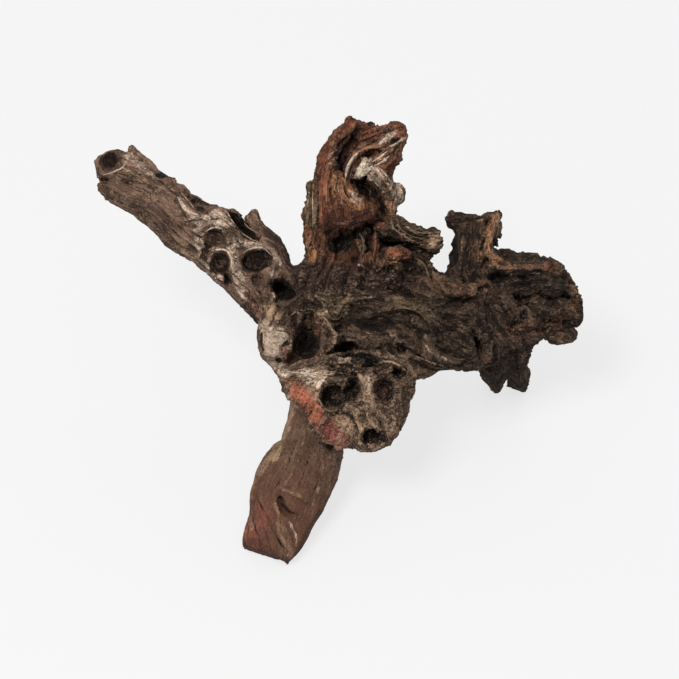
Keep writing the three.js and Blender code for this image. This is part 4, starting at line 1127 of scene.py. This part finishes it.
def wood_material(colours):
    """Weathered root wood: its limbs differ, and stains, fibres, pores and painted shade lie over them."""
    wood = Shader("Weathered root wood")
    places = wood.places()
    fine = wood.attribute("fibre")
    broad = wood.attribute("broad_fibre")
    harsh = wood.attribute("harsh")
    dry = wood.attribute("dry")
    colour, grain = limb_looks(wood, places, colours)
    mottle = wood.ramp(wood.speckle(places, size=MOTTLE_SIZE, detail=4.0, roughness=0.6), 0.33, 0.67)
    grit = wood.ramp(wood.speckle(places, size=GRIT_SIZE, detail=3.0, roughness=0.65), 0.34, 0.66)
    cloud = wood.ramp(wood.speckle(places, size=CLOUD_SIZE, detail=3.0, roughness=0.6), 0.36, 0.64)
    ragged = 0.3 * (grain - 0.5) + 0.35 * (grit - 0.5) + 0.05 * fine + 0.35 * (mottle - 0.5)
    colour = stained(wood, colour, colours, ragged)

    # lighter and darker from fibre to fibre, and painted shade: darker where the surface faces down
    uneven = 0.1 * fine + 0.12 * broad + 0.45 * (grain - 0.5) + 0.38 * (grit - 0.5) + 0.45 * (mottle - 0.5)
    uneven = uneven + 0.3 * (cloud - 0.5)
    tone = 1 + uneven * harsh + wood.ramp(wood.attribute("facing_up_for_painted_shade"), -0.4, 0.9, -0.35, 0.06)
    colour = wood.scaled(colour, wood.ramp(tone, 0.1, 1.9, 0.2, 1.85))

    # dry flecks, and dark seams with pale lips between the bundles of fibres
    flecks = wood.ramp(0.85 * grain + 0.25 * grit + 0.45 * mottle, 1.1, 1.45) * harsh
    colour = wood.blend(colour, opaque(colours.worn), flecks * dry * 0.6)
    bend = broad + 0.8 * (grain - 0.5)
    sharp = wood.ramp(harsh, 0.2, 1.2)
    seam = wood.ramp(bend * bend, 0.1, 0.0) * sharp
    lip = wood.ramp((bend - 0.5) * (bend - 0.5), 0.08, 0.0) * sharp
    colour = wood.blend(colour, opaque(colours.worn), lip * dry * 0.5)
    colour = wood.blend(colour, opaque(colours.deep), seam * 0.62)

    # pores, and painted shade: darker in the grooves and wherever little light gets in
    pits = wood.ramp(wood.pores(places, size=PORE_SIZE) + 0.25 * (grit - 0.5), 0.28, 0.12)
    pits = pits * wood.attribute("porous")
    colour = wood.blend(colour, opaque(colours.deep), pits * 0.55)
    groove = wood.ramp(wood.attribute("groove") + ragged * 0.4, 0.15, 1.1)
    colour = wood.blend(colour, opaque(colours.deep), groove * 0.8)
    painted_occlusion_shade = wood.ramp(wood.attribute("openness") + ragged * 0.25, 0.6, 0.1)
    colour = wood.blend(colour, opaque(colours.black), painted_occlusion_shade * 0.75)

    wood.feed(wood.surface, "Base Color", colour)
    wood.feed(wood.surface, "Roughness", wood.ramp(tone, 0.4, 1.6, 0.88, 0.7))
    wood.feed(wood.surface, "Specular IOR Level", 0.2)
    wood.raise_bumps(0.5 * grain + 0.45 * grit - 0.5 * pits - 0.6 * seam + 0.2 * lip, 0.9, 0.0012)
    return wood.material


def even(line, step):
    """Points at even steps along a smooth curve through the line's points."""
    ends = np.concatenate((2 * line[:1] - line[1:2], line, 2 * line[-1:] - line[-2:-1]))
    curve = []
    for a, b, c, d in zip(ends, ends[1:], ends[2:], ends[3:]):
        count = max(2, int(np.linalg.norm(c - b) / step))
        for t in np.arange(count) / count:
            point = 2 * b + (c - a) * t
            point = point + (2 * a - 5 * b + 4 * c - d) * t * t
            point = point + (3 * b - a - 3 * c + d) * t**3
            curve.append(0.5 * point)
    return np.array(curve + [line[-1]])


def ring_edges(ring):
    """The edges of a ring of points, each one once."""
    edges = (edge for point in ring for edge in point.link_edges if edge.other_vert(point) in ring)
    return list(dict.fromkeys(edges))


def fibre_material(tint, colour):
    """A loose fibre: one colour that varies along and across it."""
    wood = Shader(tint + " fibre")
    places = wood.places()
    grit = wood.speckle(places, size=GRIT_SIZE, detail=3.0, roughness=0.65)
    mottle = wood.speckle(places, size=0.006, detail=3.0, roughness=0.6)
    tone = wood.ramp(1.4 * (grit - 0.5) + 1.3 * (mottle - 0.5), -0.45, 0.45, 0.3, 1.3)
    wood.feed(wood.surface, "Base Color", wood.scaled(tuple(colour), tone))
    wood.feed(wood.surface, "Roughness", 0.7)
    wood.feed(wood.surface, "Specular IOR Level", 0.35)
    wood.raise_bumps(grit, 0.7, 0.0006)
    return wood.material


def floor_material(colours):
    plain = Shader("Pale floor")
    plain.feed(plain.surface, "Base Color", opaque(colours.floor))
    plain.feed(plain.surface, "Roughness", 0.9)
    plain.feed(plain.surface, "Specular IOR Level", 0.1)
    plain.feed(plain.surface, "Emission Color", (1.0, 1.0, 1.0, 1.0))
    plain.feed(plain.surface, "Emission Strength", FLOOR_GLOW)
    return plain.material


# What a user may change


def colour_choice(name, description, default):
    return bpy.props.FloatVectorProperty(
        name=name, description=description, default=default, size=3, min=0, max=1, subtype="COLOR"
    )


def length_choice(name, description, default):
    return bpy.props.FloatProperty(
        name=name, description=description, default=default, min=0, unit="LENGTH", subtype="DISTANCE"
    )


class DriftwoodShape(bpy.types.PropertyGroup):
    """Sizes of the fine surface."""

    spacing: length_choice("Point spacing", "How far apart the points of the surface lie", 1.1 * MM)
    gnarl: length_choice("Gnarl height", "How high the broad swellings of the wood stand", 1.0 * MM)
    broad_fibre: length_choice("Broad fibre height", "How high the bundles of fibres stand", 0.42 * MM)
    fine_fibre: length_choice("Fine fibre height", "How high the single fibres stand", 0.2 * MM)


class DriftwoodColours(bpy.types.PropertyGroup):
    """Colours of the wood, its stains and the floor."""

    arm: colour_choice("Arm", "The long arm", paint(123, 96, 80))
    leg: colour_choice("Leg", "The front leg", paint(103, 71, 55))
    hood: colour_choice("Hood", "The torn hood", paint(110, 69, 50))
    burl: colour_choice("Burl", "The broken face of the burl", paint(137, 112, 94))
    trunk: colour_choice("Trunk", "The dark trunk", paint(61, 46, 36))
    brown: colour_choice("Brown", "Plain brown stretches", paint(72, 53, 41))
    tan: colour_choice("Tan", "Dry tan stretches", paint(152, 123, 98))
    rind: colour_choice("Rind", "Warm brown bark", paint(94, 68, 53))
    olive: colour_choice("Olive", "Old grey-green bark", paint(108, 91, 68))
    purple: colour_choice("Purple", "Purple-brown inner bark", paint(50, 33, 29))
    red: colour_choice("Red", "Red-brown heartwood", paint(86, 49, 36))
    rust: colour_choice("Rust", "Bright red-brown heartwood", paint(128, 72, 50))
    brick: colour_choice("Brick", "The fresh break", paint(182, 107, 80))
    wine: colour_choice("Wine", "The dark end of the fresh break", paint(136, 72, 62))
    orange: colour_choice("Orange", "Orange-brown heartwood", paint(158, 108, 76))
    pink: colour_choice("Pink", "Rubbed pinkish wood", paint(150, 108, 90))
    pale: colour_choice("Pale", "Bleached wood", paint(204, 179, 157))
    bleached: colour_choice("Bleached", "Bare splinters", paint(214, 196, 170))
    # hollow and black also give the painted shade inside the knot holes, and black and deep the painted
    # shade wherever little light gets in and in the grooves
    hollow: colour_choice("Hollow", "Inside the shallow knot holes", paint(62, 43, 36))
    black: colour_choice("Black", "Cracks and deep hollows", paint(15, 10, 8))
    deep: colour_choice("Deep", "Between the fibres", paint(27, 18, 13))
    worn: colour_choice("Worn", "Rubbed ridges", paint(170, 141, 114))
    floor: colour_choice("Floor", "The floor", (0.16, 0.16, 0.16))


# Operators


def apply_modifiers(context, piece):
    context.view_layer.update()
    mesh = bpy.data.meshes.new_from_object(piece.evaluated_get(context.evaluated_depsgraph_get()))
    piece.modifiers.clear()
    piece.data = mesh


class WOOD_OT_driftwood(bpy.types.Operator):
    """Grow the fine surface of the driftwood over its solid"""

    bl_idname = "wood.driftwood"
    bl_label = "Driftwood"

    def execute(self, context):
        shape = context.scene.driftwood_shape
        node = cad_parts["driftwood"]
        spacing = shape.spacing * 1
        piece = self.fine_copy(context, node, spacing)
        skin = Skin(piece.data)
        skin.relax(RELAXING_ROUNDS)
        self.reshape(skin)
        normals = skin.normals()
        seen = skin.in_sight() * smoothstep(-0.1, 0.35, normals[:, 2])
        shares, grain = limb_shares(skin)
        wander = 1.3 * skin.scatter(6, 5.2, 9.4)
        free = openness(skin, normals, node)
        way = grain_way(skin, grain, normals, seen, 0.4 * wander)
        stride = shape.spacing / MM * FIBRE_STRIDE
        fibre = fibres(skin, way, normals, self.seeds(skin), FIBRE_STEPS, stride)
        nature = sum(shares[name][:, None] * np.array(ROUGH[name]) for name in LIMBS)
        self.gnarl(skin, shape, fibre, normals, nature, seen)
        skin.layers["hollow"], skin.layers["painted_hole_shade"] = self.holes(skin, seen, wander, free)
        self.marks(skin, seen, wander)
        self.keep_inside(skin)
        self.layers(skin, shares, fibre, free, nature)
        self.drop_chips(piece.data)
        piece.data.materials.clear()
        piece.data.materials.append(wood_material(context.scene.driftwood_colours))
        for face in piece.data.polygons:
            face.use_smooth = True
        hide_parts("driftwood")
        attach(piece, "root")
        return {"FINISHED"}

    @staticmethod
    def seeds(skin):
        """What becomes single fibres, bundles of fibres and folds once it is smeared along the grain."""
        chance = np.random.default_rng(SEED).standard_normal((skin.count, 2))
        folds = 0.5 - 2 * np.abs(skin.rough(size=15, seed=1.3))
        folds = folds - 0.8 * np.abs(skin.rough(size=7, seed=6.1))
        seeds = np.stack((chance[:, 0], skin.smooth(chance[:, 1], 4), folds), axis=1)
        return seeds / seeds.std(axis=0)

    @staticmethod
    def fine_copy(context, node, spacing):
        """A copy of the solid with a fine net of points, which is wider where the viewer doesn't look."""
        form = bmesh.new()
        form.from_mesh(node.data)
        bmesh.ops.remove_doubles(form, verts=form.verts, dist=MERGE_DISTANCE)
        mesh = bpy.data.meshes.new("driftwood_coarse")
        form.to_mesh(mesh)
        form.free()
        piece = bpy.data.objects.new("weathered_driftwood", mesh)
        context.scene.collection.objects.link(piece)
        net = piece.modifiers.new("Net", "REMESH")
        net.mode = "VOXEL"
        net.voxel_size = spacing
        apply_modifiers(context, piece)
        places = view_places(piece.data)
        out = np.empty(len(places) * 3, np.float32)
        piece.data.vertex_normals.foreach_get("vector", out)
        facing = out.reshape(-1, 3) @ np.array(FRONT)
        hidden = 1 - in_sight(places) * smoothstep(-0.15, 0.1, facing)
        group = piece.vertex_groups.new(name="hidden")
        half, whole = 0.5, 1.0
        for level in (half, whole):
            points = np.flatnonzero(np.round(2 * hidden) / 2 == level)
            group.add(points.tolist(), level, "REPLACE")
        thin = piece.modifiers.new("Thin", "DECIMATE")
        thin.vertex_group = group.name
        thin.use_collapse_triangulate = True
        triangles = 2 * len(piece.data.polygons)
        thin.ratio = min(1, MOST_TRIANGLES / triangles)
        apply_modifiers(context, piece)
        piece.vertex_groups.clear()
        return piece

    @staticmethod
    def reshape(skin):
        """Moves broad stretches, and thins the prongs towards their tips."""
        seen = skin.in_sight()
        for item in RESHAPING:
            gap, _ = along(skin.places[:, :2], item["line"])
            form = smoothstep(1.4, 0, gap / item["width"]) * seen
            skin.places += form[:, None] * np.array(item["shift"])
        for tip in PRONG_TIPS:
            low = smoothstep(-14, -84, skin.places[:, 2])
            gap = skin.places[:, :2] - np.array(tip)
            near = smoothstep(13, 8, np.linalg.norm(gap, axis=1)) * low
            skin.places[:, :2] -= PRONG_THINNING * near[:, None] * gap

    @staticmethod
    def gnarl(skin, shape, fibre, normals, nature, seen):
        """Raises the folds, the lumps and the fibres."""
        fine, broad, fold = fibre.T
        swelling, fibrous, _, _ = nature.T
        crumbs = 0.5 - 1.6 * np.abs(skin.rough(size=3.4, seed=4.4))
        broken = 0.4 * fold + 0.5 * skin.rough(size=6, seed=8.2) + 0.6 * crumbs
        level = fold + 0.5 * skin.rough(size=9, seed=2.2)
        torn = 0.35 - np.abs(skin.rough(size=4.2, seed=7.7, octaves=3)) * 1.3
        for step in LEDGES:
            broken += 0.45 * (smoothstep(step - 0.06, step + 0.06, level) - 0.5)
        lift = shape.gnarl / MM * swelling * broken
        for item in CRUMBLING:
            gap, _ = along(skin.places[:, :2], item["line"])
            lift += item["height"] * torn * smoothstep(1.2, 0.4, gap / item["width"]) * seen
        lift += shape.broad_fibre / MM * fibrous * broad
        lift += shape.fine_fibre / MM * fibrous * fine
        skin.places += lift[:, None] * normals

    @staticmethod
    def holes(skin, seen, wander, free):
        """Deepens the knot holes and raises their rims. Gives how hollow each point is and how dark the
        shade painted there is.
        """
        ragged = wander + 1.1 * skin.scatter(2.8, 3.3, 7.9)
        hollow = np.zeros(skin.count)
        painted_hole_shade = np.zeros(skin.count)
        for item in ALL_HOLES:
            place = turned(skin.places[:, :2] + ragged, item["middle"], item["radii"], item["tilt"])
            away = np.linalg.norm(place, axis=1)
            near = np.flatnonzero((away < 2) & (seen > 0))
            normals = skin.normals()[near]
            inside = smoothstep(1.05, 0.55, away[near])
            lip = np.exp(-(((away[near] - RIM_PLACE) / RIM_WIDTH) ** 2))
            skin.places[near, 2] -= item["depth"] * inside * seen[near]
            skin.places[near] += (item["rim"] * lip * seen[near])[:, None] * normals
            lit = inside * seen[near]
            # a hole with light painted shade inside also takes off some of the shade painted from the rays
            free[near] += lit * np.maximum(0.62 * (1 - item["dark"]) ** 0.5 - free[near], 0)
            depth = np.clip((1.3 - away[near]) / 0.6, 0, 1) * seen[near]
            deeper = near[depth > hollow[near]]
            painted_hole_shade[deeper] = item["dark"]
            hollow[near] = np.maximum(hollow[near], depth)
        return hollow, painted_hole_shade

    @staticmethod
    def marks(skin, seen, wander):
        """Raises the ridges, sinks the cracks and gives each colour its share."""
        patchy = 0.75 + 0.55 * skin.rough(size=5, seed=2.7)
        for item in ALL_MARKS:
            width = item["width"]
            flat = skin.places[:, :2]
            low = np.min(item["line"], axis=0) - width - WANDER_ROOM
            high = np.max(item["line"], axis=0) + width + WANDER_ROOM
            near = np.flatnonzero(((flat > low) & (flat < high)).all(axis=1) & (seen > 0))
            gap, _ = along(flat[near] + wander[near] * min(1, LEAST_WANDER + width / 6), item["line"])
            share = gap / width
            if item["height"]:
                share = share / np.clip(0.4 + 0.7 * patchy[near], 0.5, 1.3)
                normals = skin.normals()[near]
                form = np.clip(1 - share * share / 1.6, 0, 1) ** 1.5
                skin.places[near] += (item["height"] * form * seen[near])[:, None] * normals
            colour = item["strength"] * smoothstep(1.25, 0.3, share) * seen[near]
            if item["height"]:
                colour = colour * np.clip(patchy[near], 0.2, 1)
            for tint in TINTS:
                layer = skin.layers[tint]
                if tint == item["tint"]:
                    layer[near] = np.maximum(layer[near], colour)
                elif tint != "black" or item["height"] > 0:
                    layer[near] *= 1 - colour

    @staticmethod
    def keep_inside(skin):
        """The fine surface reaches no further than the solid's bounding box."""
        world = np.clip(to_world(skin.places), np.array(CAD_BOX[0]), np.array(CAD_BOX[1]))
        skin.places = to_view(world)

    @staticmethod
    def layers(skin, shares, fibre, free, nature):
        """Writes what the material reads."""
        fine, broad, _ = fibre.T
        _, _, dry, contrast = nature.T
        normals = skin.normals()
        bulge = ((skin.places - skin.smooth(skin.places, 3)) * normals).sum(axis=1)
        values = {
            "fibre": np.clip(fine, -2.5, 2.5),
            "broad_fibre": np.clip(broad, -2.5, 2.5),
            "edge": np.clip(bulge / 0.45, 0, 1.5) * dry,
            "dry": dry,
            "harsh": contrast * (1 - 0.6 * skin.layers["brick"]),
            # how far the surface faces up; the material paints shade on the undersides from it
            "facing_up_for_painted_shade": normals @ VIEW_AXES[:, 2],
            # the material paints shade in these hollows of the surface
            "groove": np.clip(-bulge / 0.4, 0, 1.5),
            # the material paints shade where few rays get out
            "openness": free,
            "porous": shares["burl"] * (1 - skin.layers["brick"]) + 0.3 * shares["leg"],
            "arm": shares["arm"] + shares["knob"],
            "leg": shares["leg"],
            "hood": shares["hood"] + shares["slab"],
            "burl": shares["burl"],
            "stub": shares["stub"],
            "prongs": shares["prongs"],
            **skin.layers,
        }
        for name, value in values.items():
            layer = skin.mesh.attributes.new(name, "FLOAT", "POINT")
            layer.data.foreach_set("value", value.astype(np.float32))


    @staticmethod
    def drop_chips(mesh):
        """Keeps only the largest stretch of surface that hangs together."""
        form = bmesh.new()
        form.from_mesh(mesh)
        left = set(form.verts)
        parts = []
        while left:
            ahead = [left.pop()]
            part = set(ahead)
            while ahead:
                point = ahead.pop()
                near = {edge.other_vert(point) for edge in point.link_edges} & left
                left -= near
                part |= near
                ahead.extend(near)
            parts.append(part)
        largest = max(parts, key=len)
        chips = [point for point in form.verts if point not in largest]
        bmesh.ops.delete(form, geom=chips, context="VERTS")
        form.to_mesh(mesh)
        form.free()


class WOOD_OT_strips(bpy.types.Operator):
    """Lay loose fibres and splinters over the torn places"""

    bl_idname = "wood.strips"
    bl_label = "Loose fibres"

    def execute(self, context):
        wood = bpy.data.objects["weathered_driftwood"]
        tree = BVHTree.FromObject(wood, context.evaluated_depsgraph_get())
        colours = context.scene.driftwood_colours
        strips = LOOSE_STRIPS
        for tint in sorted({item["tint"] for item in strips}):
            form = bmesh.new()
            for number, item in enumerate(strips):
                if item["tint"] == tint:
                    self.lay(form, tree, item, number)
            bmesh.ops.recalc_face_normals(form, faces=form.faces)
            mesh = bpy.data.meshes.new(tint + "_fibres")
            form.to_mesh(mesh)
            form.free()
            mesh.materials.append(fibre_material(tint, getattr(colours, tint)))
            mesh.shade_smooth()
            piece = bpy.data.objects.new(tint + "_fibres", mesh)
            context.scene.collection.objects.link(piece)
            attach(piece, "root")
        return {"FINISHED"}

    @staticmethod
    def lay(form, tree, item, number):
        """Sweeps a flat oval along the strip's line, thin at both ends and half sunk in the wood."""
        line = even(np.array(item["line"], float), STRIP_STEP)
        found = []
        for x, y in line.tolist():
            start = VIEW_ORIGIN + MM * (x * RIGHT + y * UP) + CLEAR_OF_WOOD * FRONT
            place = tree.ray_cast(start, -FRONT)[0]
            if place is not None:
                found.append(place)
        depths = np.array([(place - VIEW_ORIGIN).dot(FRONT) for place in found])
        span = 2 * STRIP_STIFFNESS + 1
        settled = np.convolve(np.pad(depths, STRIP_STIFFNESS, "edge"), np.ones(span) / span, "valid")
        lifts = (np.maximum(settled, depths - DEEPEST_DIP) - depths).tolist()
        rings = []
        for n, place in enumerate(found):
            ahead = found[min(n + 1, len(found) - 1)] - found[max(n - 1, 0)]
            share = n / (len(found) - 1)
            full = math.sin(math.pi * (0.04 + 0.92 * share)) ** 0.8
            wave = noise.noise(Vector((0.9 * n, 3.7 * number, 0)))
            width = item["width"] * MM * full * (1 + STRIP_WAVER * wave)
            middle = place + (lifts[n] + STRIP_RISE * full * item["lift"] * MM) * FRONT
            middle.z = min(middle.z, CAD_BOX[1][2] - width)
            ahead = ahead.normalized()
            side = ahead.cross(FRONT).normalized()
            flat = Matrix((side, FRONT, ahead)).transposed().to_4x4()
            size = Matrix.Diagonal((width, STRIP_THICKNESS * item["lift"] * MM * full, width, 1))
            stand = Matrix.Translation(middle) @ flat @ size
            ring = bmesh.ops.create_circle(form, segments=STRIP_SIDES, radius=1, matrix=stand)
            rings.append(ring["verts"])
        for first, second in zip(rings, rings[1:]):
            bmesh.ops.bridge_loops(form, edges=ring_edges(first) + ring_edges(second))
        for ring in (rings[0], rings[-1]):
            bmesh.ops.edgeloop_fill(form, edges=ring_edges(ring))


class WOOD_OT_stage(bpy.types.Operator):
    """Lay the pale floor, and set the lights and the camera"""

    bl_idname = "wood.stage"
    bl_label = "Stage"

    def execute(self, context):
        self.floor(context)
        self.lights(context)
        self.camera(context)
        return {"FINISHED"}

    @staticmethod
    def floor(context):
        form = bmesh.new()
        bmesh.ops.create_grid(form, x_segments=2, y_segments=2, size=FLOOR_REACH)
        mesh = bpy.data.meshes.new("floor")
        form.to_mesh(mesh)
        form.free()
        mesh.materials.append(floor_material(context.scene.driftwood_colours))
        floor = bpy.data.objects.new("floor", mesh)
        floor.location.z = CAD_BOX[0][2]
        context.scene.collection.objects.link(floor)

    @staticmethod
    def lights(context):
        scene = context.scene
        scene.view_settings.view_transform = "Standard"
        scene.world = bpy.data.worlds.new("Studio")
        scene.world.use_nodes = True
        backdrop = scene.world.node_tree.nodes["Background"]
        backdrop.inputs["Color"].default_value = (1, 1, 1, 1)
        backdrop.inputs["Strength"].default_value = ROOM_LIGHT
        lamps = {
            "key": (Vector((-0.7, -1.0, 2.1)), 0.8, 39),
            "back": (Vector((0.5, 1.4, 1.6)), 1.2, 6),
        }
        for name, (place, size, power) in lamps.items():
            lamp = bpy.data.lights.new(name, "AREA")
            lamp.size = size
            lamp.energy = power
            lit = bpy.data.objects.new(name, lamp)
            lit.location = place
            lit.rotation_euler = (VIEW_ORIGIN - place).to_track_quat("-Z", "Y").to_euler()
            scene.collection.objects.link(lit)

    @staticmethod
    def camera(context):
        lens = bpy.data.cameras.new("camera")
        lens.sensor_width = 36
        lens.lens = lens.sensor_width * VIEW_DISTANCE / VIEW_WIDTH
        camera = bpy.data.objects.new("camera", lens)
        camera.location = VIEW_ORIGIN + VIEW_DISTANCE * FRONT
        camera.rotation_euler = (math.pi / 2 - VIEW_ELEVATION, 0, 0)
        context.scene.collection.objects.link(camera)
        context.scene.camera = camera


class WOOD_PT_driftwood(bpy.types.Panel):
    """The driftwood's tab in the 3D view's sidebar"""

    bl_label = "Driftwood"
    bl_space_type = "VIEW_3D"
    bl_region_type = "UI"
    bl_category = "Driftwood"

    def draw(self, context):
        layout = self.layout
        for choices in (context.scene.driftwood_shape, context.scene.driftwood_colours):
            for name in choices.__annotations__:
                layout.prop(choices, name)
        for operator in STEPS:
            layout.operator(operator.bl_idname)


STEPS = (WOOD_OT_driftwood, WOOD_OT_strips, WOOD_OT_stage)
CLASSES = (DriftwoodShape, DriftwoodColours, *STEPS, WOOD_PT_driftwood)


def register():
    for each in CLASSES:
        bpy.utils.register_class(each)
    bpy.types.Scene.driftwood_shape = bpy.props.PointerProperty(type=DriftwoodShape)
    bpy.types.Scene.driftwood_colours = bpy.props.PointerProperty(type=DriftwoodColours)


def unregister():
    del bpy.types.Scene.driftwood_colours
    del bpy.types.Scene.driftwood_shape
    for each in reversed(CLASSES):
        bpy.utils.unregister_class(each)


def main():
    register()
    bpy.ops.wood.driftwood()
    bpy.ops.wood.strips()
    bpy.ops.wood.stage()


if __name__ == "__main__":
    main()
